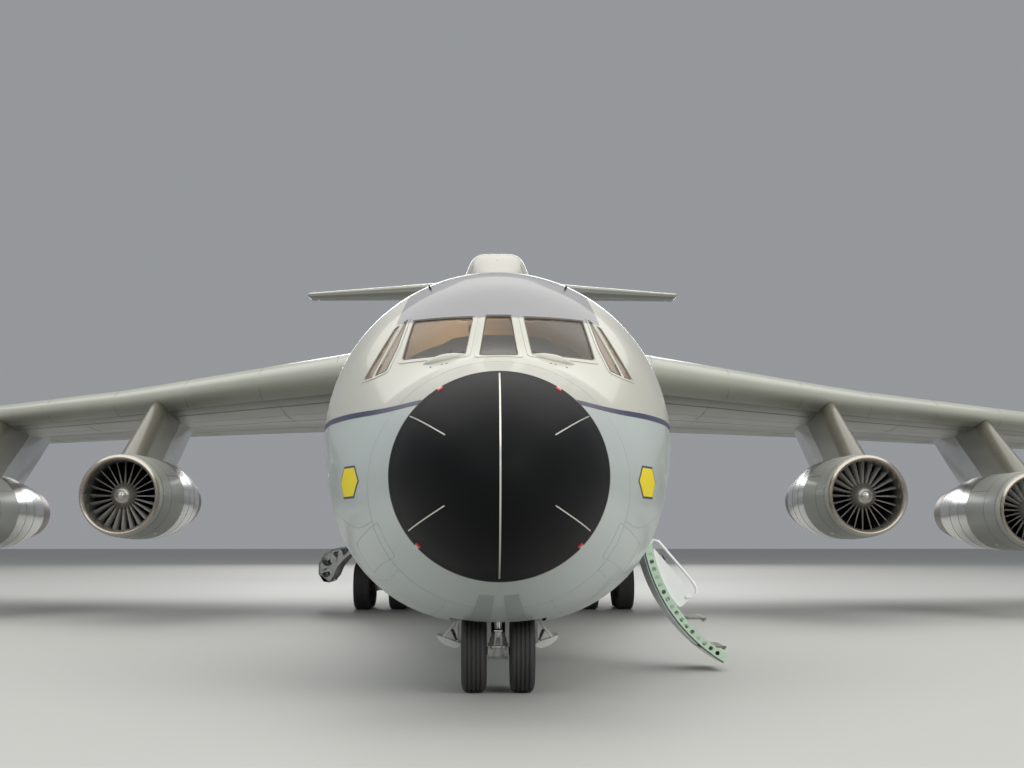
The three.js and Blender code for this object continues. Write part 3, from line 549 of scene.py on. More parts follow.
def hull_normal(y, angle):
    around = hull_point(y, angle + 0.01) - hull_point(y, angle - 0.01)
    along = hull_point(y + 0.02, angle) - hull_point(y - 0.02, angle)
    return around.cross(along).normalized() * -1


def hull_angle(y, z, side=1):
    """The angle from the belly at which the skin has a height."""
    _, low, high = hull_row(y)
    down = max(-1, min(1, ((low + high) / 2 - z) / ((high - low) / 2)))
    return side * math.acos(math.copysign(abs(down) ** (1 / fullness(y, down > 0)), down))


def belly_height(x, y):
    """The height of the skin above the floor, straight under the hull."""
    half, low, high = hull_row(y)
    power = fullness(y, True)
    return (low + high) / 2 - (high - low) / 2 * (1 - abs(x / half) ** (2 / power)) ** (power / 2)


def hull_spot(y, angle):
    return hull_point(y, angle), hull_normal(y, angle)


def spot_beside(y, z, side=1):
    """The skin as seen from the side: a point and its outward direction."""
    return hull_spot(y, hull_angle(y, z, side))


def spot_ahead(x, z):
    """The skin as seen from the front, found by halving the interval."""
    near, far = SPLIT["nose"], SPLIT["forward"]
    for _ in range(30):
        y = (near + far) / 2
        half, low, high = hull_row(y)
        height = (z - (low + high) / 2) / ((high - low) / 2)
        power = 2 / fullness(y, height < 0)
        inside = abs(x / half) ** power + abs(height) ** power < 1
        near, far = (near, y) if inside else (y, far)
    return hull_spot(y, hull_angle(y, z, 1 if x >= 0 else -1))


print("skin at the windshield:", [round(v, 3) for v in spot_ahead(0.6, 3.9)[0]])


# %% Lengths of the hull
def hull_ring(y, inset=0.0):
    return [hull_point(y, angle, -inset) for angle in full_turn(RING_POINTS)]


def hull_shell(start, end, spacing, skin=SKIN, closed_front=None, lining=LINING):
    """A length of the hull with its wall, open at both ends or solid ahead of closed_front."""
    count = max(1, round((end - start) / spacing))
    outer = [hull_ring(y) for y in steps(start, end, count)]
    inner = [hull_ring(y, skin) for y in steps(end, closed_front or start, count)]
    looks = [HULL] * (count + 1) + [lining] * count + ([] if closed_front else [HULL])
    return Shape().loft(outer + inner, looks, looped=closed_front is None)


def hull_solid(start, end, spacing, inset=0.0, look=HULL):
    count = max(1, round((end - start) / spacing))
    return Shape().loft([hull_ring(y, inset) for y in steps(start, end, count)], look)


print("each ring has", RING_POINTS, "points")

# %% [markdown]
# ## Nose shell and windows
# The windshield is three panes set in the curved nose, a narrow one between two large ones, and two slim
# windows follow on each side. Their outlines come from the photograph. The same outlines cut the holes in the
# skin, make the glass a little inside it, and guide a raised frame with a brown seal round each pane. The
# side panes have brown shades right behind the glass, so they get a brown base under a clear coat.

# %% Window outlines
PANE_OUTLINES = {
    "windshield_centre": [(-0.205, 3.64), (0.205, 3.64), (0.14, 4.175), (-0.14, 4.175)],
    "windshield_left": [(0.36, 3.66), (1.06, 3.65), (0.97, 4.175), (0.285, 4.16)],
    "side_window_left_front": [(1.245, 3.535), (1.372, 3.49), (1.1, 4.163), (1.057, 4.19), (1.14, 3.82)],
    "side_window_left_rear": [(1.41, 3.48), (1.505, 3.464), (1.19, 4.11), (1.135, 4.135)],
}
PANES = [(pane, 1, outline) for pane, outline in PANE_OUTLINES.items()]
PANES += [(pane.replace("left", "right"), -1, outline) for pane, _, outline in PANES if "left" in pane]
print(len(PANES), "panes")


# %% Outlines that are rounded, grown and split
def round_corners(outline, radius, count=5):
    """The outline with its corners rounded."""
    rounded = []
    for i, corner in enumerate(outline):
        corner = Vector(corner)
        back, ahead = Vector(outline[i - 1]) - corner, Vector(outline[(i + 1) % len(outline)]) - corner
        reach = min(radius, 0.35 * back.length, 0.35 * ahead.length)
        back, ahead = back.normalized() * reach, ahead.normalized() * reach
        for t in steps(0, 1, count):
            rounded.append(tuple(corner + back * (1 - t) ** 2 + ahead * t ** 2))
    return rounded


def grow_outline(outline, amount):
    """The outline with every edge moved out by the same amount."""
    grown = []
    for i, point in enumerate(outline):
        normals = []
        for start, end in ((outline[i - 1], point), (point, outline[(i + 1) % len(outline)])):
            length = math.dist(start, end)
            normals.append(Vector(((end[1] - start[1]) / length, (start[0] - end[0]) / length)))
        reach = amount / (1 + normals[0].dot(normals[1]))
        grown.append(tuple(Vector(point) + (normals[0] + normals[1]) * reach))
    return grown


def pane_prism(side, outline, grow=0.0, look=HULL):
    outline = round_corners(grow_outline(outline, grow), 0.028)
    return Shape().prism([(side * x, 2.4, z) for x, z in outline], (0, 2.8, 0), look)


def along_edges(outline, count):
    """The outline with every edge split into equal parts."""
    pairs = zip(outline, [*outline[1:], outline[0]])
    return [mix(start, end, t) for start, end in pairs for t in steps(0, 1, count)[:-1]]


def pane_spots(side, outline, spacing=0.04):
    """Points on the skin along an outline, with the outward direction at each."""
    spots = []
    for i, start in enumerate(outline):
        end = outline[(i + 1) % len(outline)]
        count = max(1, round(math.dist(start, end) / spacing))
        for t in steps(0, 1, count)[:-1]:
            x, z = mix(start, end, t)
            spots.append(spot_ahead(side * x, z))
    return spots


print("corners of the middle pane, rounded:", len(round_corners(PANES[0][2], 0.028)), "points")

# %% Nose shell, glass and window frames
BAY_HALF, BAY_FRONT, BAY_BACK, BAY_TOP = 0.52, 3.15, 5.0, 1.47
nose = hull_shell(SPLIT["nose"], SPLIT["forward"], 0.12, closed_front=2.35, lining=COCKPIT_CREAM)
nose = nose.piece("nose_skin")
carve(nose, Shape().box((-BAY_HALF, BAY_HALF), (BAY_FRONT, BAY_BACK), (0, BAY_TOP - 0.02), GEAR_WHITE))
for _, side, outline in PANES:
    carve(nose, pane_prism(side, outline))
place(nose, "paint_upper", "nose_section")

for pane, side, outline in PANES:
    look = SHADED_GLASS if "side" in pane else GLASS
    layer = Shape().loft([hull_ring(y, 0.004) for y in steps(2.4, 5.6, 26)]
                         + [hull_ring(y, 0.03) for y in steps(5.6, 2.4, 26)], look, looped=True)
    glass = carve(layer.piece(f"glass_{pane}"), pane_prism(side, outline, -0.004, look), "INTERSECT")
    place(glass, "window_glass", pane)

frames = Shape()
for pane, side, outline in PANES:
    wide = 0.05 if "windshield" in pane else 0.03
    raised, seal = (wide / 2 + 0.006, wide, 0.007, HULL), (0.002, 0.007, 0.008, SEAL_BROWN)
    for grow, width, height, look in (raised, seal):
        edge = round_corners(grow_outline(outline, grow), 0.033)
        frames.ribbon(pane_spots(side, edge), width, height, look, looped=True, depth=0.03)
frames.place("window_frames", "paint_upper")

# %% [markdown]
# The rest of the tube is cut into the same lengths as the CAD. The forward one has the crew doorway, the aft
# one is open under the ramp, and the tail is open below the hinge lines of its two big petal doors.

# %% Hull sections
DOORWAY_Y, DOORWAY_Z = (6.3, 7.2), (1.6, 3.42)
forward = hull_shell(SPLIT["forward"], SPLIT["centre"], 0.4).piece("forward_skin")
carve(forward, Shape().box((1, 3), DOORWAY_Y, DOORWAY_Z, HULL))
place(forward, "paint_upper", "forward_fuselage")
hull_shell(SPLIT["centre"], SPLIT["aft"], 1.0).place("centre_skin", "paint_upper", "centre_fuselage")

RAMP_HALF, RAMP_FRONT, RAMP_BACK = 1.56, 33.5, 37.16
aft = hull_shell(SPLIT["aft"], SPLIT["tail"], 0.3).piece("aft_skin")
carve(aft, Shape().box((-RAMP_HALF - 0.02, RAMP_HALF + 0.02), (RAMP_FRONT, 38), (0, 3), HULL))
place(aft, "paint_upper", "aft_fuselage")

PETAL_FRONT, PETAL_BACK, PETAL_GAP = 37.29, 45.6, 0.045
PETAL_ANGLE = 2 * math.pi * 5 / 24


def petal_hinge(y):
    _, half, low, high = row_at(HULL_ROWS, y)
    reach = (high - low) / 2
    return half * math.sin(PETAL_ANGLE), (low + high) / 2 - reach * math.cos(PETAL_ANGLE)


def below_hinge(start, end, drop, x0, x1):
    tops = [(end, petal_hinge(end)[1] - drop), (start, petal_hinge(start)[1] - drop)]
    return Shape().side_view([(start, 0), (end, 0), *tops], x0, x1, HULL)


outer = [hull_ring(y) for y in steps(SPLIT["end"], SPLIT["tail"], 40)]
inner = [hull_ring(y, SKIN) for y in steps(SPLIT["tail"], 45.9, 32)]
tail = Shape().loft(outer + inner, [HULL] * 41 + [LINING] * 32).piece("tail_skin")
place(carve(tail, below_hinge(37, PETAL_BACK + PETAL_GAP, 0, -3, 3)), "paint_upper", "tail_section")

# %% [markdown]
# The radome is a smooth rubber-coated dome. Its radius grows with the square root of the distance from the
# tip, so rings that are spaced that way follow it closely. Thin metal strips lead lightning away from it:
# one runs from top to bottom, and four short ones point outwards like the lines on a compass.

# %% Radome
RADOME_ROWS = [[0, 0, 2.25], [0.262, 0.31, 2.25], [0.5345, 0.64, 2.26], [0.793, 0.925, 2.28], [1, 1.1, 2.3]]


def radome_ring(share):
    """Half width, half height, centre height and distance of the radome's ring at a share of its root."""
    _, radius, middle = smooth_row(RADOME_ROWS, share)
    return radius, radius * (1 - 0.05 * share), middle, 1.75 * share ** 2


def radome_point(share, angle):
    half, reach, middle, y = radome_ring(share)
    return Vector((half * math.sin(angle), y, middle - reach * math.cos(angle)))


def radome_spot(share, angle):
    """A point of the radome and its outward direction."""
    point, step = radome_point(share, angle), 0.01 if share < 0.98 else -0.01
    along = (radome_point(share + step, angle) - point) / step
    half, reach, _, _ = radome_ring(share)
    around = Vector((half * math.cos(angle), 0, reach * math.sin(angle)))
    return point, along.cross(around).normalized()


rings = []
for share in (0.004, *steps(0.03, 0.97, 30), 1):
    rings.append([radome_point(share, angle) for angle in full_turn(RING_POINTS)])
Shape().loft(rings, RADOME_BLACK).place("radome_dome", "radome_black", "radome")


# %% Radome strips and seam
def radome_line(start, end, count=16):
    """Spots on the radome along a straight line as seen from the front, between (x, z) points."""
    spots = []
    for t in steps(0, 1, count):
        x, z = mix(start, end, t)
        low, high = 0.0, 1.0
        for _ in range(30):
            share = (low + high) / 2
            half, reach, middle, _ = radome_ring(share)
            outside = (x / half) ** 2 + ((z - middle) / reach) ** 2 > 1 if half else True
            low, high = (share, high) if outside else (low, share)
        half, reach, middle, _ = radome_ring(share)
        spots.append(radome_spot(share, math.atan2(x / half, -(z - middle) / reach)))
    return spots


strips = Shape()
strips.ribbon(radome_line((0, 1.3), (0, 3.3), 60), 0.016, 0.006, STRIP_METAL)
for inner, outer in ((2.62, 2.88), (1.98, 1.76)):
    for side in (1, -1):
        strips.ribbon(radome_line((side * 0.5, inner), (side * 0.88, outer)), 0.012, 0.006, STRIP_METAL)
strips.place("radome_strips", "bare_metal")
edge_spots = [radome_spot(0.995, angle) for angle in full_turn(RING_POINTS)]
Shape().ribbon(edge_spots, 0.02, 0.004, SEAM_DARK, looped=True).place("radome_seam", "paint_upper")

# %% [markdown]
# ## Repeats with Geometry Nodes
# Rivets, blades and bolts repeat by a rule, so a node tree makes them. The first tree walks along polylines
# and sets a low dome at an even spacing, turned by an attribute that holds the skin's outward direction. The
# second sets copies of one item round an axis. Each tree ends in real geometry with its material, and the
# result becomes a plain mesh.


# %% Node tree helpers
def grow_tree(name, sizes, parts, links):
    """A node group with named inputs, its parts, and links such as "curve.0 > even.0" between them."""
    tree = bpy.data.node_groups.new(name, "GeometryNodeTree")
    tree.interface.new_socket(name="Geometry", in_out="OUTPUT", socket_type="NodeSocketGeometry")
    identifiers = {}
    for label, kind in (("Geometry", "Geometry"), *sizes, ("Finish", "Material")):
        socket = tree.interface.new_socket(name=label, in_out="INPUT", socket_type=f"NodeSocket{kind}")
        identifiers[label] = socket.identifier
    nodes = {"sizes": tree.nodes.new("NodeGroupInput"), "result": tree.nodes.new("NodeGroupOutput")}
    nodes["real"] = tree.nodes.new("GeometryNodeRealizeInstances")
    nodes["paint"] = tree.nodes.new("GeometryNodeSetMaterial")
    for label, kind, inputs, settings in parts:
        nodes[label] = link_nodes(tree, kind, inputs, **settings)
    for link in (*links, "real.0 > paint.0", "sizes.Finish > paint.Material", "paint.0 > result.0"):
        (start, out), (end, into) = [tip.split(".") for tip in link.split(" > ")]
        out, into = [int(key) if key.isdigit() else key for key in (out, into)]
        tree.links.new(nodes[start].outputs[out], nodes[end].inputs[into])
    return tree, identifiers


def run_tree(tree, identifiers, host, values, crease=35):
    """Sets the tree's inputs by identifier and turns its result into a plain mesh."""
    modifier = host.modifiers.new(tree.name, "NODES")
    modifier.node_group = tree
    for label, value in values.items():
        modifier[identifiers[label]] = value
    return settle_modifiers(host, crease)


# %% A tree that rivets along lines
RIVET_SIZES = [("Spacing", "Float"), ("Rivet Radius", "Float"), ("Rivet Height", "Float")]
RIVET_TREE = grow_tree("rivets_along_lines", RIVET_SIZES, [
    ("curve", "GeometryNodeMeshToCurve", {}, {}),
    ("even", "GeometryNodeResampleCurve", {}, {"mode": "LENGTH"}),
    ("dome", "GeometryNodeMeshCone", {"Vertices": 6}, {}),
    ("flat top", "ShaderNodeMath", {1: 0.55}, {"operation": "MULTIPLY"}),
    ("outward", "GeometryNodeInputNamedAttribute", {"Name": "outward"}, {"data_type": "FLOAT_VECTOR"}),
    ("turn", "FunctionNodeAlignRotationToVector", {}, {"axis": "Z"}),
    ("copies", "GeometryNodeInstanceOnPoints", {}, {}),
], [
    "sizes.Geometry > curve.0", "curve.0 > even.0", "sizes.Spacing > even.Length",
    "sizes.Rivet Height > dome.Depth", "sizes.Rivet Radius > dome.Radius Bottom",
    "sizes.Rivet Radius > flat top.0", "flat top.0 > dome.Radius Top", "outward.0 > turn.Vector",
    "turn.0 > copies.Rotation", "even.0 > copies.Points", "dome.0 > copies.Instance", "copies.0 > real.0",
])


def rivet_lines(name, lines, spacing, radius=0.007, height=0.0035, look=HULL):
    """Rivets along lines of (point, normal) spots, at full-size spacing and size."""
    points, edges, outward = [], [], []
    for line in lines:
        edges += [(len(points) + i, len(points) + i + 1) for i in range(len(line) - 1)]
        points += [to_model(point) for point, _ in line]
        outward += [component for _, normal in line for component in normal]
    mesh = bpy.data.meshes.new(name)
    mesh.from_pydata(points, edges, [])
    mesh.attributes.new("outward", "FLOAT_VECTOR", "POINT").data.foreach_set("vector", outward)
    sizes = {"Spacing": spacing * SCALE, "Rivet Radius": radius * SCALE, "Rivet Height": height * SCALE,
             "Finish": look}
    return run_tree(*RIVET_TREE, link_object(name, mesh), sizes, 50)


print("rivet tree inputs:", list(RIVET_TREE[1]))

# %% A tree that sets items round an axis
RING_TREE = grow_tree("items_round_an_axis", [("Count", "Int"), ("Radius", "Float"), ("Item", "Object")], [
    ("line", "GeometryNodeMeshLine", {"Offset": (0, 0, 0)}, {}),
    ("item", "GeometryNodeObjectInfo", {}, {}),
    ("order", "GeometryNodeInputIndex", {}, {}),
    ("step", "ShaderNodeMath", {0: 2 * math.pi}, {"operation": "DIVIDE"}),
    ("angle", "ShaderNodeMath", {}, {"operation": "MULTIPLY"}),
    ("turn", "ShaderNodeCombineXYZ", {}, {}),
    ("push", "ShaderNodeCombineXYZ", {}, {}),
    ("copies", "GeometryNodeInstanceOnPoints", {}, {}),
    ("moved", "GeometryNodeTranslateInstances", {}, {}),
], [
    "sizes.Count > line.Count", "sizes.Count > step.1", "order.0 > angle.0", "step.0 > angle.1",
    "angle.0 > turn.1", "line.0 > copies.Points", "sizes.Item > item.0", "item.Geometry > copies.Instance",
    "turn.0 > copies.Rotation", "copies.0 > moved.0", "sizes.Radius > push.2", "push.0 > moved.Translation",
    "moved.0 > real.0",
])


def ring_of(name, item, count, radius, look, centre=(0, 0, 0), axis="y"):
    """Copies of an item that points up, round an axis through a full-size centre."""
    item_mesh = item.piece(f"{name}_item")
    item_mesh.data.transform(Matrix.Translation((0, LENGTH / 2 * SCALE, 0)))
    host = link_object(name, bpy.data.meshes.new(name))
    run_tree(*RING_TREE, host, {"Count": count, "Radius": radius * SCALE, "Item": item_mesh, "Finish": look})
    bpy.data.objects.remove(item_mesh)
    spin = Matrix.Rotation(-math.pi / 2 if axis == "x" else 0, 4, "Z")
    host.data.transform(Matrix.Translation(to_model(centre)) @ spin)
    return host


print("ring tree inputs:", list(RING_TREE[1]))

# %% [markdown]
# ## Lines on the hull
# The stripe, the seams between skin panels and the rows of rivets all follow the skin, so they share the
# functions that find a point of it. The seams sit where one sheet of skin ends and the next begins. A seam
# stops where there is a door, a window or an opening below the ramp.


# %% Lines that stop at openings
def hull_is_open(y, angle):
    """True where a door, a window or the ramp leaves no fixed skin."""
    x, _, z = hull_point(y, angle)
    beside_door = DOORWAY_Y[0] - 0.03 < y < DOORWAY_Y[1] + 0.03 and x > 0
    doorway = beside_door and DOORWAY_Z[0] - 0.05 < z < DOORWAY_Z[1] + 0.03
    gear_bay = 2.5 < y < 5.05 and abs(x) < 0.45 and z < 2
    windows = 3.0 < y < 5.2 and 3.4 < z < 4.3
    ramp = y > RAMP_FRONT and z < 2.5 and abs(x) < RAMP_HALF + 0.05
    return doorway or gear_bay or windows or ramp or (y > 37 and z < petal_hinge(y)[1] + 0.06)


def hull_line(points):
    """Splits a run of (y, angle) places into runs of spots on closed skin."""
    runs = [[]]
    for y, angle in points:
        if hull_is_open(y, angle):
            runs.append([])
        else:
            runs[-1].append(hull_spot(y, angle))
    return [run for run in runs if len(run) > 2]


print("the ramp's line is open:", hull_is_open(35, 0))


# %% Stripe and seams
def stripe_middle(y):
    return (STRIPE_LOW + STRIPE_HIGH) / 2 + TAIL_RISE * max(0, y - TAIL_RISE_FROM)


stripe = Shape()
stripe_ys = (*steps(1.77, 6.27, 40), *steps(6.3, 7.2, 8), *steps(7.23, 46.4, 160))
for side in (1, -1):
    for line in hull_line([(y, hull_angle(y, stripe_middle(y), side)) for y in stripe_ys]):
        stripe.ribbon(line, STRIPE_HIGH - STRIPE_LOW, 0.004, STRIPE_NAVY)
stripe.place("side_stripe", "paint_upper")

FRAME_SEAMS = [2.45, 5.35, 5.9, 8.3, 10.9, 13.5, 16.2, 19.2, 22.2, 25.4, 28.5, 31.0, 33.2, 35.4, 37.2, 39.6,
               42.4, 45.4]
LONG_SEAMS = {22: 2.45, 48: 2.45, 74: 2.45, 100: 5.35, 126: 5.35, 152: 5.35}
frame_runs, long_runs = [], []
for y in FRAME_SEAMS:
    frame_runs += hull_line([(y, turn) for turn in steps(0, 2 * math.pi, 160)])
for turn, start in LONG_SEAMS.items():
    for side in (1, -1):
        long_runs += hull_line([(y, side * math.radians(turn)) for y in steps(start, 45.4, 170)])
seams = Shape()
for line in frame_runs + long_runs:
    seams.ribbon(line, 0.011, 0.0015, HULL_SEAM)
seams.place("hull_seams", "paint_upper")


# %% Rivets beside the seams
def beside_line(line, shift):
    """The line moved sideways along the skin."""
    moved = []
    for i, (point, normal) in enumerate(line):
        ahead = line[min(i + 1, len(line) - 1)][0] - line[max(i - 1, 0)][0]
        moved.append((point + ahead.cross(normal).normalized() * shift, normal))
    return moved


rows = [beside_line(line, shift) for line in frame_runs for shift in (-0.045, 0.045)]
rows += [beside_line(line, 0.04) for line in long_runs]
place(rivet_lines("hull_rivets", rows, 0.15), "paint_upper")

# %% [markdown]
# A few things stand on the nose: a yellow badge on each side, red pull tags at the radome's latches, two
# wiper fairings below the windshield, and small probes. They are placed by the photograph and sit on the
# skin. The outlines of hatches, the blade aerials and the red beacons follow along the hull.

# %% A patch on the skin
BADGE = [(2.78, 2.29), (2.98, 2.11), (3.42, 2.11), (3.53, 2.29), (3.38, 2.46), (3.0, 2.46)]


def patch_rings(outline, middle, count):
    """Rings of an outline with split edges, from near its middle to its full size."""
    edge = along_edges(outline, count)
    return [[mix(middle, point, share) for point in edge] for share in (0.02, 0.35, 0.7, 1)]


print("points round the badge:", len(patch_rings(BADGE, (3.1, 2.29), 4)[0]))

# %% Badges, tags and hatches
badges = Shape()
border, field = (BADGE, 0.004, STRIPE_NAVY), (grow_outline(BADGE, -0.022), 0.006, BADGE_YELLOW)
for side in (1, -1):
    for outline, height, look in (border, field):
        middle = [sum(values) / len(outline) for values in zip(*outline)]
        levels = [[spot_beside(y, z, side) for y, z in ring] for ring in patch_rings(outline, middle, 4)]
        tops = [[point + normal * height for point, normal in ring] for ring in levels]
        feet = [[point - normal * 0.01 for point, normal in ring] for ring in levels[::-1]]
        badges.loft(tops + feet, look)
badges.place("side_badges", "paint_upper")

tags = Shape()
for turn in (48, -48, 147, -147):
    for share, look, width in ((0.965, TAG_RED, 0.06), (0.99, STRIP_METAL, 0.045)):
        (point, normal), (end, _) = [radome_spot(s, math.radians(turn)) for s in (share, share - 0.025)]
        tags.ribbon([(point, normal), (end, normal)], width, 0.012, look)
tags.place("radome_tags", "paint_upper")

HATCHES = [[(2.3, 1.5), (2.3, 1.85), (3.3, 1.62), (3.3, 1.3)]]
for y0, y1, z0, z1 in ((8.0, 8.6, 2.1, 2.7), (30.2, 31.1, 1.65, 3.3), (12.0, 12.6, 2.55, 3.35)):
    HATCHES.append([(y0, z0), (y0, z1), (y1, z1), (y1, z0)])
hatches = Shape()
for side in (1, -1):
    for outline in HATCHES:
        spots = [spot_beside(y, z, side) for y, z in along_edges(round_corners(outline, 0.06), 4)]
        hatches.ribbon(spots, 0.009, 0.0015, HULL_SEAM, looped=True)
hatches.place("hatch_outlines", "paint_upper")


# %% Wiper fairings, probes and lights
def teardrop(shape, spots, widths, heights, look, sides=16):
    """A streamlined fairing that stands on the skin along (point, normal) spots."""
    rings = []
    for i, ((point, normal), width, height) in enumerate(zip(spots, widths, heights)):
        ahead = spots[min(i + 1, len(spots) - 1)][0] - spots[max(i - 1, 0)][0]
        side = ahead.cross(normal).normalized()
        ring = [side * (width * math.cos(a)) + normal * (height * math.sin(a)) for a in full_turn(sides)]
        rings.append([point + step for step in ring])
    return shape.loft(rings, look)


WIPER_WIDTHS = [0.008, 0.032, 0.048, 0.0576, 0.0624, 0.0608, 0.0528, 0.032, 0.0096]
WIPER_LINE = [(0.82, 3.565), (0.62, 3.612), (0.345, 3.655)]
fittings = Shape()
for side in (1, -1):
    path = [mix(start, end, t) for start, end in zip(WIPER_LINE, WIPER_LINE[1:]) for t in steps(0, 1, 4)[:-1]]
    spots = [spot_ahead(side * x, z) for x, z in (*path, WIPER_LINE[-1])]
    teardrop(fittings, spots, WIPER_WIDTHS, [0.75 * width for width in WIPER_WIDTHS], HULL, 20)
    for x, z in ((0.558, 3.545), (0.609, 3.539), (0.732, 3.514)):
        point, normal = spot_ahead(side * x, z)
        fittings.rod(point - normal * 0.01, point + normal * 0.002, 0.013, SEAL_BLACK, 12)
    point, normal = spot_beside(5.17, 4.72, side)
    probe = [point, point + normal * 0.035, point + normal * 0.04 + Vector((0, -0.025, 0))]
    fittings.sweep(probe, [0.015, 0.012, 0.009], SEAL_BLACK, 10)
fittings.place("nose_fittings", "bare_metal")

# %% Aerials and beacons
BLADE_OUTLINE = [(0, 0), (0.15, 0.5), (0.45, 0.7), (1, 0), (0.45, -0.7), (0.15, -0.5)]
BLADE_AERIALS = [(7.6, 0, 0.3, 0.35), (10.2, 0, 0.26, 0.3), (15.0, 0, 0.28, 0.32),
                 (31.5, math.pi, 0.34, 0.42), (34.2, math.pi, 0.3, 0.36)]
aerials = Shape()
for y, angle, height, chord in BLADE_AERIALS:
    point, normal = hull_spot(y, angle)
    side = normal.cross(Vector((0, 1, 0))).normalized()
    rings = []
    for share in steps(0, 1, 3):
        lead = point + normal * (height * share - 0.02) + Vector((0, chord * 0.45 * share, 0))
        length = chord * (1 - 0.55 * share)
        ring = [Vector((0, length * f, 0)) + side * (wide * chord * 0.08) for f, wide in BLADE_OUTLINE]
        rings.append([lead + step for step in ring])
    aerials.loft(rings, HULL)
aerials.place("blade_aerials", "paint_upper")
beacons = Shape()
for y, angle, up in ((29.6, math.pi, 1), (17.2, 0, -1)):
    lamp = [(-0.03, 0), (-0.03, 0.1), (0, 0.09), (0.05, 0.085), (0.1, 0.06), (0.125, 0.02), (0.13, 0)]
    beacons.turned([(up * height, r) for height, r in lamp], hull_point(y, angle), LAMP_RED, "z", 20)
beacons.place("beacons", "window_glass")

# %% [markdown]
# ## Wings and tail
# A lifting surface is a row of sections, each a rounded nose that thins to a sharp tail. The same tables as
# in the CAD say where each section sits, how long and thick it is and how far it is tilted. The finer
# sections here give smooth curves. The leading edge is a separate strip of a lighter grey with joints.

# %% Section tables and points
WING_ROWS = [[0, 15.9, 10.11, 5.36, 0.13, 4.9], [8.0, 19.89, 6.85, 4.66, 0.115, 3.0],
             [24.37, 28.05, 3.35, 3.75, 0.105, 0.5]]
FIN_ROWS = [[4.4, 37.9, 9.6, 0, 0.11, 0], [11.45, 43.8, 4.6, 0, 0.11, 0]]
TAIL_ROWS = [[0, 46.0, 4.6, 11.62, 0.11, 0], [7.66, 49.45, 1.75, 11.66, 0.1, 0]]
CAMBER = 0.012
EDGE_SHARE = 0.085
TIP_ROUND = 0.12
FOIL_SHARES = [1, 0.97, 0.9, 0.8, 0.7, 0.6, 0.5, 0.4, 0.3, 0.2, 0.13, EDGE_SHARE, 0.05, 0.025, 0.01, 0.003]


def half_thickness(f):
    return 5 * (0.2969 * math.sqrt(f) - 0.126 * f - 0.3516 * f**2 + 0.2843 * f**3 - 0.1 * f**4)


def foil_point(row, f, rise, side=1, upright=False):
    out, y, chord, z, _, incidence = row
    tilt, aft, up = math.radians(incidence), chord * f, chord * rise
    if upright:
        return Vector((up, y + aft, out))
    return Vector((side * out, y + aft * math.cos(tilt) + up * math.sin(tilt),
                   z - aft * math.sin(tilt) + up * math.cos(tilt)))


def foil_rise(row, f, top, upright=False):
    """The height of the surface over its chord: 1 for the top, -1 for the underside, 0 for the middle."""
    return (0 if upright else 4 * CAMBER * f * (1 - f)) + top * half_thickness(f) * row[4]


def foil_ring(row, side=1, upright=False, thin=1.0):
    """Points from the tail over the top to the nose and back below. thin flattens it, for a rounded tip."""
    row = [*row[:4], row[4] * thin, row[5]]
    places = [(f, foil_rise(row, f, 1, upright)) for f in FOIL_SHARES] + [(0, 0)]
    places += [(f, foil_rise(row, f, -1, upright)) for f in FOIL_SHARES[::-1]]
    return [foil_point(row, f, rise, side, upright) for f, rise in places]


def foil_spot(table, out, f, top=1, side=1, upright=False):
    """A point of the surface and its outward direction."""
    spots = []
    for at, share in ((out, f), (out, f + 0.01), (out + 0.05, f)):
        row = row_at(table, at)
        spots.append(foil_point(row, share, foil_rise(row, share, top, upright), side, upright))
    point, ahead, along = spots
    normal = (ahead - point).cross(along - point).normalized()
    return point, normal if normal[0 if upright else 2] * top > 0 else -normal


print("wing root chord", WING_ROWS[0][2], "m, tip chord", WING_ROWS[-1][2], "m")


# %% A whole surface
def foil_solid(table, start, end, count, look, edge_look, side=1, upright=False, round_end=True):
    """A whole surface, with its leading edge faces in their own look."""
    places = [(out, 1) for out in steps(start, end - TIP_ROUND if round_end else end, count)]
    if round_end:
        places += [(end - TIP_ROUND + TIP_ROUND * math.sin(a), math.cos(a)) for a in (0.5, 0.95, 1.3, 1.5)]
    rings = [foil_ring(row_at(table, out), side, upright, thin) for out, thin in places]
    solid = Shape().loft(rings, look)
    nose, strip, size = len(FOIL_SHARES), FOIL_SHARES.index(EDGE_SHARE), len(rings[0])
    for face in range((len(rings) - 1) * size):
        if strip <= face % size < 2 * nose - strip:
            solid.looks[face] = edge_look
    return solid


print("points round a section:", len(foil_ring(WING_ROWS[0])))

# %% [markdown]
# Ailerons, elevators and the rudder turn about a line inside their own rounded nose, so the gap to the cove
# stays the same at every angle. Each one is made as its own piece and rides on its own body. The flaps and
# spoilers don't move here, so they are drawn as thin dark gaps on the wing.

# %% Control surfaces
CONTROLS = {
    "aileron": (WING_ROWS, (15.6, 22.4), 0.75, 0.045),
    "elevator": (TAIL_ROWS, (0.62, 7.3), 0.7, 0.04),
    "rudder": (FIN_ROWS, (5.35, 10.9), 0.72, 0.1),
}
MOVE_GAP = 0.016


def control_solid(kind, side=1):
    table, ends, hinge, _ = CONTROLS[kind]
    upright = kind == "rudder"
    rings = []
    for out in steps(*ends, 8):
        row = row_at(table, out)
        reach = half_thickness(hinge) * row[4]
        middle = 0 if upright else 4 * CAMBER * hinge * (1 - hinge)
        places = [(f, foil_rise(row, f, 1, upright)) for f in steps(1, hinge, 6)]
        for a in steps(0, math.pi, 10)[1:-1]:
            places.append((hinge - reach * math.sin(a), middle + reach * math.cos(a)))
        places += [(f, foil_rise(row, f, -1, upright)) for f in steps(1, hinge, 6)[::-1]]
        rings.append([foil_point(row, f, rise, side, upright) for f, rise in places])
    return Shape().loft(rings, WING_GREY)


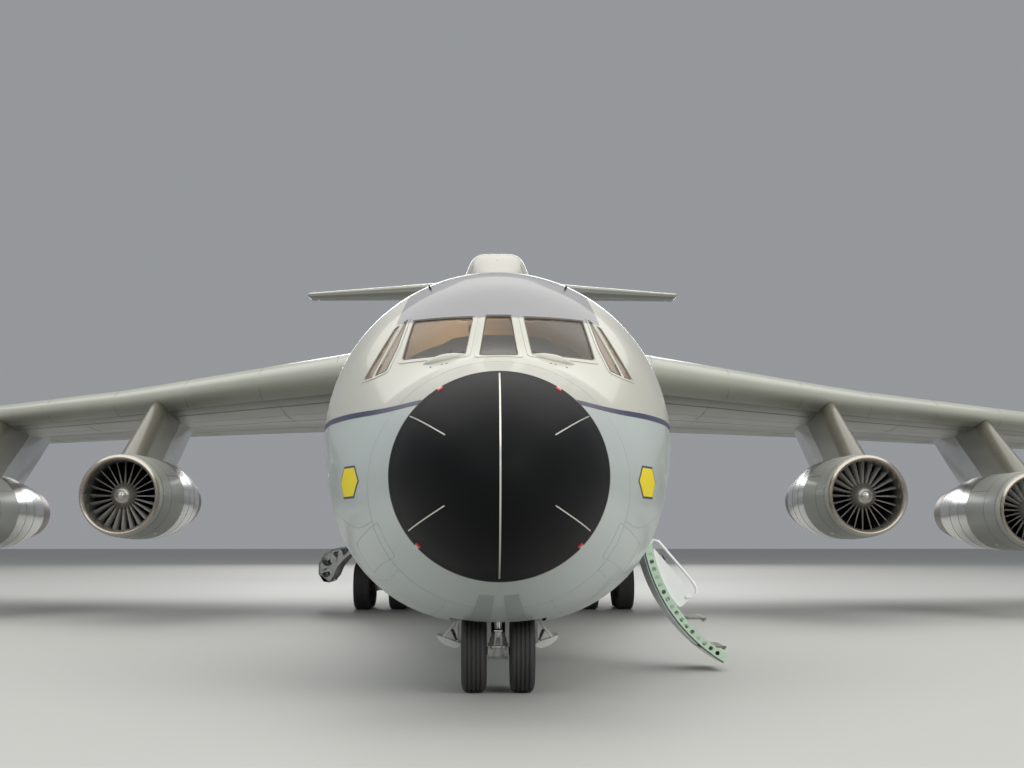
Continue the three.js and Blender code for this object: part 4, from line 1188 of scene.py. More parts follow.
def cove_cutter(kind, side=1):
    """A block across a surface from just ahead of the control's nose to past the tail."""
    table, ends, hinge, gap = CONTROLS[kind]
    rings = []
    for out in (ends[0] - gap, ends[1] + gap):
        row = row_at(table, out)
        start = hinge - half_thickness(hinge) * row[4] - MOVE_GAP / row[2]
        corners = [(start, -0.3), (1.3, -0.3), (1.3, 0.3), (start, 0.3)]
        rings.append([foil_point(row, f, rise, side, kind == "rudder") for f, rise in corners])
    return Shape().loft(rings, DARK_METAL)


for name, side in SIDES:
    for kind in ("aileron", "elevator"):
        node = f"{kind}_{name}"
        control_solid(kind, side).place(f"{kind}_skin_{name}", "paint_wing", node, body=node)
control_solid("rudder").place("rudder_skin", "paint_wing", "rudder", body="rudder")

# %% Wings, fin and tailplane with its bullet
for name, side in SIDES:
    wing = foil_solid(WING_ROWS, 1.2, 24.37, 30, WING_GREY, EDGE_GREY, side).piece(f"wing_skin_{name}")
    place(carve(wing, cove_cutter("aileron", side)), "paint_wing", f"wing_{name}")

fin = foil_solid(FIN_ROWS, 4.4, 11.45, 16, WING_GREY, EDGE_GREY, upright=True, round_end=False)
place(carve(fin.piece("fin_skin"), cove_cutter("rudder")), "paint_wing", "fin")

BULLET_ROWS = [[43.2, 0], [43.26, 0.055], [43.45, 0.12], [43.9, 0.2], [44.5, 0.27], [45.3, 0.33],
               [46.4, 0.35], [47.6, 0.34], [48.6, 0.305], [49.6, 0.25], [50.6, 0.13], [51.15, 0.045],
               [51.29, 0]]
for name, side in SIDES:
    half = foil_solid(TAIL_ROWS, 0, 7.66, 14, WING_GREY, EDGE_GREY, side).piece(f"tailplane_skin_{name}")
    place(carve(half, cove_cutter("elevator", side)), "paint_wing", *(["tailplane"] if side > 0 else []))
bullet_rows = [smooth_row(BULLET_ROWS, y) for y in steps(43.2, 51.29, 60)]
bullet = Shape().turned(bullet_rows, (0, 0, 11.62), WING_GREY, sides=40)
bullet.turned([(50.9, 0.0), (51.0, 0.088), (51.1, 0.062), (51.2, 0.045), (51.285, 0.02), (51.29, 0)],
              (0, 0, 11.62), LAMP_GLASS, sides=24)
bullet.place("bullet_fairing", "paint_wing")

# %% [markdown]
# The lines on the wing are ribbons that follow the surface: the flap gap, the spoilers ahead of it, the skin
# joints along the span and the joints of the leading edge. Rivets run along the spars.


# %% Lines on the wing and tail
def foil_line(table, places, top, side, upright=False):
    """Spots along a path of (out, share) places on a surface."""
    spots = []
    for start, end in zip(places, places[1:]):
        spots += [foil_spot(table, *mix(start, end, t), top, side, upright) for t in steps(0, 1, 10)]
    return [spot for i, spot in enumerate(spots) if not i or (spot[0] - spots[i - 1][0]).length > 1e-4]


FLAP_PANELS = [(2.3, 7.1), (7.2, 11.2), (11.3, 15.4)]
SPOILER_PANELS = [(3.4, 5.2), (5.3, 7.1), (7.9, 9.4), (9.5, 11.0), (11.9, 13.4), (13.5, 15.0)]
EDGE_TURN = [(0.08, 1), (0.05, 1), (0.025, 1), (0.01, 1), (0.01, -1), (0.025, -1), (0.05, -1), (0.08, -1)]
wing_lines, wing_rivets = Shape(), []


def wing_line(width, table, places, top, side, upright=False):
    spots = foil_line(table, places, top, side, upright)
    wing_lines.ribbon(spots, width, min(0.002, width * 0.15), SEAM_DARK)


for _, side in SIDES:
    for start, end in SPOILER_PANELS:
        wing_line(0.014, WING_ROWS, [(start, 0.7), (start, 0.6), (end, 0.6), (end, 0.7)], 1, side)
    for top in (1, -1):
        for start, end in FLAP_PANELS:
            wing_line(0.018, WING_ROWS, [(start, 0.985), (start, 0.72), (end, 0.72), (end, 0.985)], top, side)
        for share in (EDGE_SHARE, 0.16, 0.3, 0.45):
            wing_line(0.008, WING_ROWS, [(out, share) for out in (2.1, 8, 24.1)], top, side)
            row = [(out, share + 0.012) for out in (2.1, 8, 24.1)]
            wing_rivets.append(foil_line(WING_ROWS, row, top, side))
        for out in (4.6, 9.3, 13.4, 15.5, 19.0, 22.5):
            wing_line(0.008, WING_ROWS, [(out, EDGE_SHARE), (out, 0.58)], top, side)
        for out in (1.8, 4.1, 6.2):
            wing_line(0.01, TAIL_ROWS, [(out, 0.02), (out, 0.66)], top, side)
        wing_line(0.01, TAIL_ROWS, [(0.5, 0.14), (7.5, 0.14)], top, side)
        wing_rivets.append(foil_line(TAIL_ROWS, [(0.5, 0.16), (7.4, 0.16)], top, side))
    for out in steps(3.2, 23.6, 12):
        joint = [foil_spot(WING_ROWS, out, f, top, side) for f, top in EDGE_TURN]
        wing_lines.ribbon(joint, 0.009, 0.0015, SEAM_DARK)
for top in (1, -1):
    for height in (6.4, 8.1, 9.8):
        wing_line(0.008, FIN_ROWS, [(height, 0.02), (height, 0.66)], top, 1, True)
    wing_line(0.008, FIN_ROWS, [(5.4, 0.12), (11.2, 0.12)], top, 1, True)
    wing_rivets.append(foil_line(FIN_ROWS, [(5.4, 0.14), (11.2, 0.14)], top, 1, True))
wing_lines.place("wing_lines", "paint_wing")
place(rivet_lines("wing_rivets", wing_rivets, 0.16, look=WING_GREY), "paint_wing")

# %% Tip lights and discharge wicks
TIP_WIDTHS = [0.01, 0.035, 0.045, 0.045, 0.04, 0.03, 0.01]
TIP_HEIGHTS = [0.02, 0.1, 0.13, 0.135, 0.13, 0.1, 0.03]
tips, wicks = Shape(), Shape()
for (_, side), look in zip(SIDES, (LAMP_RED, LAMP_GREEN)):
    row = row_at(WING_ROWS, 24.2)
    spots = [(foil_point(row, f, 0.004, side), Vector((side, 0, 0))) for f in steps(0.03, 0.16, 6)]
    teardrop(tips, spots, TIP_WIDTHS, TIP_HEIGHTS, look)
    for table, outs in ((WING_ROWS, (22.9, 23.4, 23.9)), (TAIL_ROWS, (7.35, 7.5))):
        for out in outs:
            start, _ = foil_spot(table, out, 0.975, 1, side)
            wicks.sweep([start, start + Vector((side * 0.01, 0.11, -0.004))], [0.006, 0.003], SEAL_BLACK, 6)
tips.place("tip_lights", "window_glass")
wicks.place("static_wicks", "bare_metal")

# %% [markdown]
# ## Engines
# Each engine hangs in a round nacelle: a polished lip, a painted front, a bare metal band and a bare tail
# pipe. Behind the lip, fixed guide vanes run from a domed hub to the duct wall, and the fan turns behind
# them. The nacelle is one turned shape that closes on itself, in several looks along its length.

# %% Nacelle
ENGINE_OUT = {"inboard": 7.28, "outboard": 11.3}
ENGINE_AHEAD, ENGINE_BELOW = 3.1, 2.22
NACELLE = [
    (NACELLE_PAINT, [(0.3, 0.81)]),
    (EDGE_GREY, [(0.2, 0.803), (0.12, 0.795)]),
    (POLISHED, [(0.06, 0.782), (0.02, 0.762), (0.0, 0.738), (0.02, 0.712), (0.07, 0.69), (0.14, 0.675)]),
    (DUCT_GREY, [(0.24, 0.667), (0.6, 0.672), (0.9, 0.69)]),
    (DARK_METAL, [(1.2, 0.69), (2.2, 0.7), (3.2, 0.715)]),
    (HOT_METAL, [(4.2, 0.645), (5.0, 0.572), (5.6, 0.52), (5.62, 0.54), (5.6, 0.56), (5.1, 0.625)]),
    (BARE_METAL, [(4.7, 0.675), (4.1, 0.752), (3.7, 0.797), (3.4, 0.822), (3.0, 0.838), (2.5, 0.848)]),
    (NACELLE_PAINT, [(2.1, 0.852), (1.7, 0.853), (1.2, 0.846), (0.8, 0.835), (0.5, 0.822)]),
]


def engine_centre(position, side):
    row = row_at(WING_ROWS, ENGINE_OUT[position])
    return (side * ENGINE_OUT[position], row[1] - ENGINE_AHEAD, row[3] - ENGINE_BELOW)


def nacelle_spot(turn, y, radius):
    normal = Vector((math.sin(turn), 0, math.cos(turn)))
    return Vector((0, y, 0)) + normal * radius, normal


profile = [spot for _, spots in NACELLE for spot in spots]
looks = [look for look, spots in NACELLE for _ in spots]
cowl = Shape().turned(profile, (0, 0, 0), looks, sides=72, looped=True)
for y, radius in ((0.3, 0.811), (0.95, 0.84), (2.12, 0.852), (2.75, 0.844), (3.45, 0.82), (4.75, 0.67)):
    hoop = [nacelle_spot(turn, y, radius) for turn in full_turn(60)]
    cowl.ribbon(hoop, 0.014, 0.0015, SEAM_DARK, looped=True)
for turn in (60, 180, 300):
    seam = [nacelle_spot(math.radians(turn), *spot) for spot in ((0.95, 0.841), (1.5, 0.852), (2.12, 0.852))]
    cowl.ribbon(seam, 0.014, 0.0015, SEAM_DARK)
for turn in (150, 210):
    latch = [nacelle_spot(math.radians(turn), y, 0.85) for y in (1.3, 1.45)]
    cowl.ribbon(latch, 0.05, 0.006, STRIP_METAL)
bolt = [(-0.004, 0), (-0.004, 0.006), (0.004, 0.006), (0.004, 0)]
bolt = Shape().turned(bolt, (0, 0.36, 0), POLISHED, "z", 6)
bolts = ring_of("lip_bolts", bolt, 48, 0.8165, POLISHED)
masters = {"nacelle": join_pieces("nacelle_master", [cowl.piece("cowl_shell"), bolts])}
print("nacelle faces", len(masters["nacelle"].data.polygons))

# %% [markdown]
# The guide vanes and the fan blades are each one thin twisted plate, set round the axis by the node tree.
# The hub is a smooth dome in front of them. The fan has its own disc and rides on the fan's body.

# %% Vanes, hub, fan and core
VANE_COUNT, BLADE_COUNT = 24, 30
PLATE_OUTLINE = [(-0.5, 0), (-0.2, 0.5), (0.2, 0.4), (0.5, 0), (0.2, -0.4), (-0.2, -0.5)]
HUB_PROFILE = [(0.16, 0), (0.163, 0.03), (0.176, 0.06), (0.2, 0.088), (0.225, 0.11), (0.228, 0.12),
               (0.27, 0.16), (0.34, 0.21), (0.42, 0.245), (0.6, 0.256), (0.76, 0.256), (0.76, 0.0)]
CORE_PROFILE = [(1.22, 0), (1.22, 0.46), (2.4, 0.47), (3.6, 0.42), (4.4, 0.37), (4.9, 0.21), (5.25, 0.09),
                (5.36, 0.03), (5.38, 0)]
SHAFT_PROFILE = [(0.7, 0), (0.7, 0.06), (1.3, 0.06), (1.3, 0)]
WALL_PROFILE = [(1.24, 0.2), (1.24, 0.69), (1.3, 0.69), (1.3, 0.2)]
DISC_PROFILE = [(0.84, 0.075), (0.84, 0.2), (1.12, 0.2), (1.12, 0.075)]


def twisted_plate(radii, leans, chord, thick, y):
    """A thin plate that points up from the axis, with its chord turned from one lean to another."""
    rings = []
    for t in steps(0, 1, 4):
        lean = math.radians(leans[0] + (leans[1] - leans[0]) * t)
        forward = Vector((math.sin(lean), -math.cos(lean), 0))
        across = Vector((math.cos(lean), math.sin(lean), 0))
        middle = Vector((0, y, radii[0] + (radii[1] - radii[0]) * t))
        rings.append([middle - forward * chord * u + across * thick * v for u, v in PLATE_OUTLINE])
    return Shape().loft(rings, BLADE_METAL)


vane = twisted_plate((0.24, 0.675), (3, 14), 0.26, 0.02, 0.55)
vanes = ring_of("vane_master", vane, VANE_COUNT, 0.0, BLADE_METAL)
core = Shape().turned(HUB_PROFILE, (0, 0, 0), HUB_METAL, sides=40)
core.turned(CORE_PROFILE, (0, 0, 0), HOT_METAL, sides=40)
core.turned(SHAFT_PROFILE, (0, 0, 0), DARK_METAL, sides=24)
core.turned(WALL_PROFILE, (0, 0, 0), DARK_METAL, looped=True)
masters["engine_core"] = join_pieces("engine_core_master", [core.piece("core_master"), vanes])
blade = twisted_plate((0.18, 0.652), (25, 58), 0.17, 0.016, 0.98)
blades = ring_of("fan_blades", blade, BLADE_COUNT, 0.0, FAN_DARK)
disc = Shape().turned(DISC_PROFILE, (0, 0, 0), DARK_METAL, sides=40, looped=True)
masters["fan"] = join_pieces("fan_master", [blades, disc.piece("disc_master")])

for name, side in SIDES:
    for position in ENGINE_OUT:
        tag = f"{name}_{position}"
        for kind, body, slot, node in (("nacelle", "airframe", "bare_metal", f"cowl_{tag}"),
                                       ("engine_core", "airframe", "engine_metal", f"engine_{tag}"),
                                       ("fan", f"fan_{tag}", "engine_metal", f"fan_{tag}")):
            piece = copy_piece(masters[kind], f"{kind}_{tag}", engine_centre(position, side))
            place(piece, slot, node, body=body)
for master in masters.values():
    bpy.data.objects.remove(master)

# %% [markdown]
# A pylon joins each nacelle to the wing. Its nose is rounded and swept back, its tail is bare metal, and it
# is thin from side to side. Rings between the nacelle and the wing make its curved leading edge.

# %% Pylons
PYLON_HALF = (0.25, 0.16)
PYLON_START, PYLON_TURNS, METAL_FROM = 0.42, 36, 9


def pylon_ring(t, x, y, z, row):
    """A blunt nose and a thin tail, from the nacelle's skin at 0 to the wing at 1."""
    low, high = (y + PYLON_START, y + 5.0, PYLON_HALF[0]), (row[1] + 0.3, row[1] + 4.6, PYLON_HALF[1])
    front, back, half = mix(low, high, t)
    ring = []
    for a in full_turn(PYLON_TURNS):
        f = (1 - math.cos(a)) / 2
        width = half * min(1, 3.2 * math.sqrt(f) * (1 - f) ** 0.8) * (1 if math.sin(a) > 0 else -1)
        along = front + (back - front) * f
        seat = z + 0.73 - 0.09 * max(0, along - y - 3.4)
        wing_height = row[3] - max(0, along - row[1]) * math.tan(math.radians(row[5]))
        ring.append((x + width, along, seat * (1 - t) + wing_height * t))
    return ring


for name, side in SIDES:
    for position, out in ENGINE_OUT.items():
        centre, row = engine_centre(position, side), row_at(WING_ROWS, out)
        pylon = Shape().loft([pylon_ring(t, *centre, row) for t in steps(0, 1, 10)], WING_GREY)
        for face in range(10 * PYLON_TURNS):
            if METAL_FROM <= face % PYLON_TURNS < PYLON_TURNS - METAL_FROM:
                pylon.looks[face] = BARE_METAL
        pylon.place(f"pylon_skin_{name}_{position}", "paint_wing", f"pylon_{name}_{position}")

# %% [markdown]
# ## Fairings on the crown
# Two humps stand on the crown. The front one houses the slot for in-flight refuelling, and the rear one
# covers the wing's centre box where it passes over the cabin. Both are formed sheet with rounded shoulders
# that run out to nothing at each end, so rounded rings along the hull describe them well.

# %% Crown fairings
RECEPTACLE_ROWS = [[6.2, 0.3, 0.12, 5.03], [7.4, 0.56, 0.28, 5.56], [10.4, 0.56, 0.28, 5.55],
                   [13.45, 0.26, 0.1, 5.06]]
ROOT_ROWS = [[13.6, 0.7, 0.3, 5.05], [15.9, 1.4, 0.9, 5.5], [22, 1.4, 0.9, 5.5], [28.3, 0.8, 0.3, 5.05]]
FILLET = list(zip(steps(1.9, 2.65, 6), (0.2, 0.12, 0.065, 0.03, 0.012, 0.003, 0)))


def crown_ring(half, y, radius):
    """A closed ring across the crown from the points of its one half."""
    outline = half + [(-x, z) for x, z in half[::-1]]
    return [(x, y, z) for x, z in round_corners(outline, radius)]


def receptacle_ring(y):
    _, foot, flat, top = smooth_row(RECEPTACLE_ROWS, y)
    return crown_ring([(flat + 0.04, top), (foot * 0.9, top - 0.46), (foot, 4.92)], y, 0.17)


def root_ring(y):
    _, foot, flat, top = smooth_row(ROOT_ROWS, y)
    return crown_ring([(flat, top), (foot, top - 0.3 * (foot - flat) - 0.04), (foot, 4.5)], y, 0.25)


receptacle = Shape().loft([receptacle_ring(y) for y in steps(6.2, 13.45, 60)], FAIRING_GREY)
receptacle.box((-0.085, 0.085), (7.5, 8.3), (5.5, 5.59), FAIRING_GREY)
for y in (6.95, 10.4, 11.9):
    arc = [Vector(point) for point in receptacle_ring(y)][4:-4]
    spots = [(point, (point - Vector((0, y, 4.95))).normalized()) for point in arc]
    receptacle.ribbon(spots, 0.014, 0.002, SEAM_DARK)
lamp = [(6.86, 0), (6.865, 0.016), (6.9, 0.026), (6.98, 0.028), (7.0, 0)]
receptacle.turned(lamp, (0, 0, 5.4), LAMP_GLASS, sides=16)
receptacle.place("receptacle_skin", "paint_upper", "receptacle_fairing", crease=50)
root = Shape().loft([root_ring(y) for y in steps(13.6, 28.3, 50)], HULL)
root.place("wing_root_fairing", "paint_upper", crease=50)

fillets = Shape()
for _, side in SIDES:
    rings = []
    for f in (0.0, 0.01, 0.03, 0.07, 0.14, 0.24, 0.36, 0.5, 0.65, 0.8, 0.92, 1.0):
        ring = []
        for top, places in ((-1, FILLET), (1, FILLET[::-1])):
            for out, spread in places:
                row = row_at(WING_ROWS, out)
                ring.append(foil_point(row, f, foil_rise(row, f, top) + top * spread / row[2], side))
        rings.append(ring)
    fillets.loft(rings, WING_GREY)
fillets.place("wing_fillets", "paint_wing", crease=60)

# %% [markdown]
# ## Gear pods and their doors
# The main gear folds into a pod on each side of the belly. On the photographed aircraft the pod's outer door
# hangs open: a curved skin on white ribs with round and triangular lightening holes. The ribs are flat plates
# with the holes cut out of them, which saves weight and keeps them stiff.

# %% Gear pods
POD_ROWS = [[19.3, 2.1, 0.1, 1.72, 0.1], [20.6, 2.35, 0.6, 1.75, 0.45], [22.3, 2.42, 0.86, 1.77, 0.6],
            [25.4, 2.42, 0.86, 1.77, 0.6], [27.4, 2.3, 0.6, 1.78, 0.42], [28.4, 2.1, 0.1, 1.8, 0.1]]
POD_SEAMS = [((y, 0.35), (y, 2.7)) for y in (21.2, 22.6, 25.0, 26.6)]
POD_SEAMS += [((21.2, turn), (26.6, turn)) for turn in (1.25, 2.2)]
GEAR_X, GEAR_Y, AXLE_Y, MAIN_RADIUS = 2.67, 23.8, (23.19, 24.41), 0.5492


def pod_spot(y, angle, side):
    _, x, half, z, tall = smooth_row(POD_ROWS, y)
    point = Vector((side * (x + half * math.sin(angle)), y, z - tall * math.cos(angle)))
    return point, Vector((side * tall * math.sin(angle), 0, -half * math.cos(angle))).normalized()


pod_lines = Shape()
for name, side in SIDES:
    rings = [[pod_spot(y, a, side)[0] for a in full_turn(44)] for y in steps(19.3, 28.4, 60)]
    pod, x = Shape().loft(rings, POD_PAINT), side * GEAR_X
    bay = Shape().box((x - 0.4, x + 0.4), (GEAR_Y - 0.95, GEAR_Y + 0.95), (0.9, 1.82), PRIMER)
    place(carve(pod.piece(f"pod_skin_{name}"), bay), "paint_upper", f"gear_pod_{name}")
    for start, end in POD_SEAMS:
        seam = [pod_spot(*mix(start, end, t), side) for t in steps(0, 1, 20)]
        pod_lines.ribbon(seam, 0.012, 0.002, SEAM_DARK)
pod_lines.place("pod_lines", "paint_upper")

# %% Open pod doors
RIB = [(3.24, 1.5), (3.5, 1.47), (3.78, 1.42), (3.98, 1.3), (4.1, 1.08), (4.1, 0.84), (4.0, 0.68),
       (3.86, 0.66), (3.76, 0.78), (3.68, 0.98), (3.5, 1.2), (3.24, 1.4)]
RIB_HOLES = [(3.93, 0.86, 0.105), (3.9, 1.14, 0.125)]
RIB_TRIANGLES = [[(3.34, 1.44), (3.6, 1.41), (3.52, 1.25)], [(3.64, 1.38), (3.78, 1.33), (3.68, 1.1)]]
for name, side in SIDES:
    parts = []
    for y in (22.85, 23.8, 24.7):
        rib = Shape().prism([(side * x, y, z) for x, z in RIB], (0, 0.035, 0), GEAR_WHITE).piece("rib")
        for x, z, radius in RIB_HOLES:
            carve(rib, Shape().rod((side * x, y - 0.1, z), (side * x, y + 0.1, z), radius, GEAR_WHITE, 20))
        for triangle in RIB_TRIANGLES:
            carve(rib, Shape().prism([(side * x, y - 0.1, z) for x, z in triangle], (0, 0.2, 0), GEAR_WHITE))
        parts.append(rib)
    skin = RIB[:8] + [(x - 0.016, z - 0.022) for x, z in RIB[7::-1]]
    door = Shape().loft([[(side * x, y, z) for x, z in skin] for y in (22.8, 24.8)], POD_PAINT)
    for x, z in ((3.3, 1.47), (3.86, 1.36), (4.07, 0.92)):
        door.box((side * x, side * (x - 0.035)), (22.83, 24.77), (z - 0.06, z), GEAR_WHITE)
    for x, z, radius in RIB_HOLES:
        for y in (22.85, 24.735):
            rim = [(y - 0.012, radius), (y - 0.012, radius + 0.024), (y, radius + 0.024), (y, radius)]
            door.turned(rim, (side * x, 0, z), GEAR_WHITE, sides=24, looped=True)
    place(join_pieces(f"pod_door_{name}", [door.piece("door_skin"), *parts]), "gear_paint")

# %% [markdown]
# ## Main landing gear
# Each main leg stands on a bogie: a beam with two axles, one ahead of the leg and one behind, and a pair of
# wheels on each. The leg has a white cylinder above, a polished piston below it, and hinged links that stop
# the piston from turning. Brake housings sit between each wheel and the beam.


# %% Tyres and hubs
def wheel_profile(half, radius, rim, grooves):
    """(along, radius) points of one wheel from face to face over the tread, and the look of each gap."""
    wall = radius - rim
    side = [(0.66, 0.0, DARK_METAL), (0.66, rim * 0.24, DARK_METAL), (0.58, rim * 0.3, GEAR_WHITE),
            (0.34, rim * 0.42, GEAR_WHITE), (0.3, rim * 0.74, GEAR_WHITE), (0.56, rim * 0.92, GEAR_WHITE),
            (0.74, rim, GEAR_WHITE), (0.78, rim * 1.03, RUBBER), (0.94, rim * 1.12, RUBBER),
            (1, rim + wall * 0.42, RUBBER), (0.985, rim + wall * 0.66, RUBBER),
            (0.9, rim + wall * 0.86, RUBBER), (0.78, rim + wall * 0.96, RUBBER)]
    tread = [half * 0.66]
    for groove in grooves:
        tread += [groove * half + step for step in (0.011, 0.008, -0.008, -0.011)]
    tread.append(-half * 0.66)
    deep = [i % 4 > 1 for i in range(len(tread))]
    points = [(half * share, r) for share, r, _ in side]
    points += [(along, radius - 0.013 * low) for along, low in zip(tread, deep)]
    points += [(-half * share, r) for share, r, _ in side[::-1]]
    looks = [look for _, _, look in side] + [RUBBER] * len(tread) + [look for _, _, look in side[-2::-1]]
    return points, looks


def make_wheels(name, half, radius, rim, apart, axle, grooves):
    """A pair of wheels on an axle, round the origin with the axle along x."""
    pair = Shape()
    profile, looks = wheel_profile(half, radius, rim, grooves)
    bolt_rings = []
    for side in (-1, 1):
        pair.turned(profile, (side * apart, 0, 0), looks, "x", 56)
        bolt = Shape().rod((0, -0.012, 0), (0, 0.012, 0), 0.011, DARK_METAL, 6)
        face = (side * (apart + half * 0.32), 0, 0)
        bolt_rings.append(ring_of(f"{name}_bolts", bolt, 10, rim * 0.56, DARK_METAL, face, "x"))
    pair.rod((-apart, 0, 0), (apart, 0, 0), axle, DARK_METAL, 20)
    return join_pieces(name, [pair.piece(f"{name}_pair"), *bolt_rings])


GROOVES = (0.42, 0.14, -0.14, -0.42)
main_master = make_wheels("main_wheels_master", 0.205, MAIN_RADIUS, 0.27, 0.413, 0.06, GROOVES)
for name, side in SIDES:
    for end, y in zip(("front", "rear"), AXLE_Y):
        node = f"main_wheels_{name}_{end}"
        wheels = copy_piece(main_master, f"wheels_{name}_{end}", (side * GEAR_X, y, MAIN_RADIUS))
        place(wheels, "tyre_rubber", node, body=node)
bpy.data.objects.remove(main_master)

# %% Main legs
CYLINDER = [(0.98, 0), (0.98, 0.1), (1.01, 0.12), (1.02, 0.142), (1.11, 0.142), (1.12, 0.125), (1.41, 0.125),
            (1.42, 0.145), (1.49, 0.145), (1.5, 0.13), (1.9, 0.13), (1.9, 0)]
BEAM_ROWS = [(-0.74, 0.05, 0.05), (-0.7, 0.085, 0.1), (-0.5, 0.1, 0.11), (-0.2, 0.09, 0.095), (0, 0.11, 0.12)]
BEAM_ROWS += [(-along, half, tall) for along, half, tall in BEAM_ROWS[3::-1]]
BRAKE = [(0.12, 0.062), (0.12, 0.15), (0.2, 0.165), (0.2, 0.062)]


def squared_off(value):
    """Squares off a circle's sine or cosine, for a section between a circle and a square."""
    return math.copysign(abs(value) ** 0.6, value)


def torque_link(leg, apart, narrowing, thick, root, tip):
    """Two flat arms that narrow from the leg at a (y, z, half height) to the pin at another."""
    (y, z, half), (tip_y, tip_z, tip_half) = root, tip
    for spread in (-apart, apart):
        near, far = spread - thick, spread * narrowing - thick
        leg.prism([(near, y, z - half), (near, y, z + half), (far, tip_y, tip_z + tip_half),
                   (far, tip_y, tip_z - tip_half)], (2 * thick, 0, 0), GEAR_WHITE)


for name, side in SIDES:
    leg = Shape((side * GEAR_X, GEAR_Y, 0))
    leg.turned(CYLINDER, (0, 0, 0), GEAR_WHITE, "z", 28)
    leg.turned([(0.6, 0), (0.6, 0.085), (1.0, 0.085), (1.0, 0)], (0, 0, 0), CHROME, "z", 28)
    foot = [(0.47, 0), (0.47, 0.12), (0.66, 0.115), (0.69, 0.09), (0.69, 0)]
    leg.turned(foot, (0, 0, 0), GEAR_WHITE, "z", 28)
    leg.loft([[(half * squared_off(math.cos(a)), along, MAIN_RADIUS + tall * squared_off(math.sin(a)))
               for a in full_turn(16, 0.5)] for along, half, tall in BEAM_ROWS], GEAR_WHITE)
    for at in (AXLE_Y[0] - GEAR_Y, AXLE_Y[1] - GEAR_Y):
        for end in (-1, 1):
            brake = [(end * along, radius) for along, radius in BRAKE]
            leg.turned(brake, (0, at, MAIN_RADIUS), DARK_METAL, "x", 28, looped=True)
            leg.rod((end * 0.1, at, MAIN_RADIUS), (end * 0.125, at, MAIN_RADIUS), 0.09, GEAR_WHITE, 20)
    for top in (1.06, 0.62):
        torque_link(leg, 0.05, 0.4, 0.012, (-0.1, top, 0.03), (-0.3, 0.8, 0.02))
    leg.rod((-0.06, -0.3, 0.8), (0.06, -0.3, 0.8), 0.022, CHROME, 12)
    leg.rod((0, 0.08, 1.45), (0, 0.8, 1.72), 0.045, GEAR_WHITE, 14)
    leg.rod((0, -0.1, 1.3), (0, -0.82, 1.7), 0.035, GEAR_WHITE, 14)
    leg.rod((0, -0.28, 1.4), (0, -0.62, 1.59), 0.05, GEAR_WHITE, 14)
    high = MAIN_RADIUS + 0.16
    for spread in (-0.16, 0.16):
        leg.rod((spread, -0.62, high), (spread, 0.62, high), 0.018, CHROME, 10)
        for along in (-0.61, 0.61):
            leg.rod((spread * 0.2, along, high), (spread * 1.1, along, high), 0.024, GEAR_WHITE, 10)
    leg.place(f"main_leg_{name}", "gear_paint", f"main_gear_leg_{name}")

# %% [markdown]
# ## Nose landing gear
# The nose leg stands in a bay below the cabin floor. Its upper cylinder is fixed to the airframe and braced
# to the rear. The piston, collar and axle fork turn together when the nose steers, and the two wheels spin on
# the fork's axle. A pair of lamps shines forward from the collar.

# %% Nose bay
NOSE_Y, NOSE_RADIUS = 3.7, 0.4482
bay = Shape()
side_wall = [(y, belly_height(BAY_HALF, y) + 0.005) for y in steps(BAY_FRONT, BAY_BACK, 10)]
side_wall += [(BAY_BACK, BAY_TOP), (BAY_FRONT, BAY_TOP)]
for side in (1, -1):
    bay.prism([(side * (BAY_HALF + 0.01) - 0.01, y, z) for y, z in side_wall], (0.02, 0, 0), BAY_GREEN)
    for y in (3.35, 4.15, 4.6):
        bay.box((side * 0.52, side * 0.495), (y, y + 0.03), (0.9, 1.46), BAY_GREEN)
for y in (BAY_FRONT - 0.02, BAY_BACK):
    end_wall = [(x, belly_height(x, y) + 0.005) for x in steps(-BAY_HALF, BAY_HALF, 8)]
    end_wall += [(BAY_HALF, BAY_TOP), (-BAY_HALF, BAY_TOP)]
    bay.prism([(x, y, z) for x, z in end_wall], (0, 0.02, 0), BAY_GREEN)
bay.box((-0.54, 0.54), (BAY_FRONT - 0.02, BAY_BACK + 0.02), (BAY_TOP, BAY_TOP + 0.02), BAY_GREEN)
bay.place("nose_bay", "interior_paint")

# %% Nose leg
leg = Shape((0, NOSE_Y, 0))
sleeve = [(0.98, 0), (0.98, 0.118), (1.0, 0.13), (1.05, 0.13), (1.06, 0.112), (1.2, 0.112), (1.21, 0.128),
          (1.29, 0.128), (1.3, 0.112), (1.449, 0.112), (1.449, 0)]
leg.turned(sleeve, (0, 0, 0), GEAR_WHITE, "z", 32)
leg.rod((-0.1, 0.62, 1.235), (0.1, 0.62, 1.235), 0.02, GEAR_WHITE, 12)
leg.box((-0.12, 0.12), (1.02, 1.2), (1.27, 1.449), GEAR_WHITE)
for side in (1, -1):
    leg.rod((side * 0.072, 0.09, 1.12), (side * 0.09, 1.12, 1.34), 0.028, GEAR_WHITE, 14)
    leg.rod((side * 0.12, -0.02, 1.25), (side * 0.2, -0.02, 1.25), 0.05, GEAR_WHITE)
    leg.rod((side * 0.165, -0.1, 1.03), (side * 0.165, 0.12, 1.03), 0.032, GEAR_WHITE, 14)
    leg.rod((side * 0.165, 0.1, 1.03), (side * 0.165, 0.2, 1.03), 0.016, CHROME, 12)
leg.place("nose_leg", "gear_paint", "nose_gear_leg")

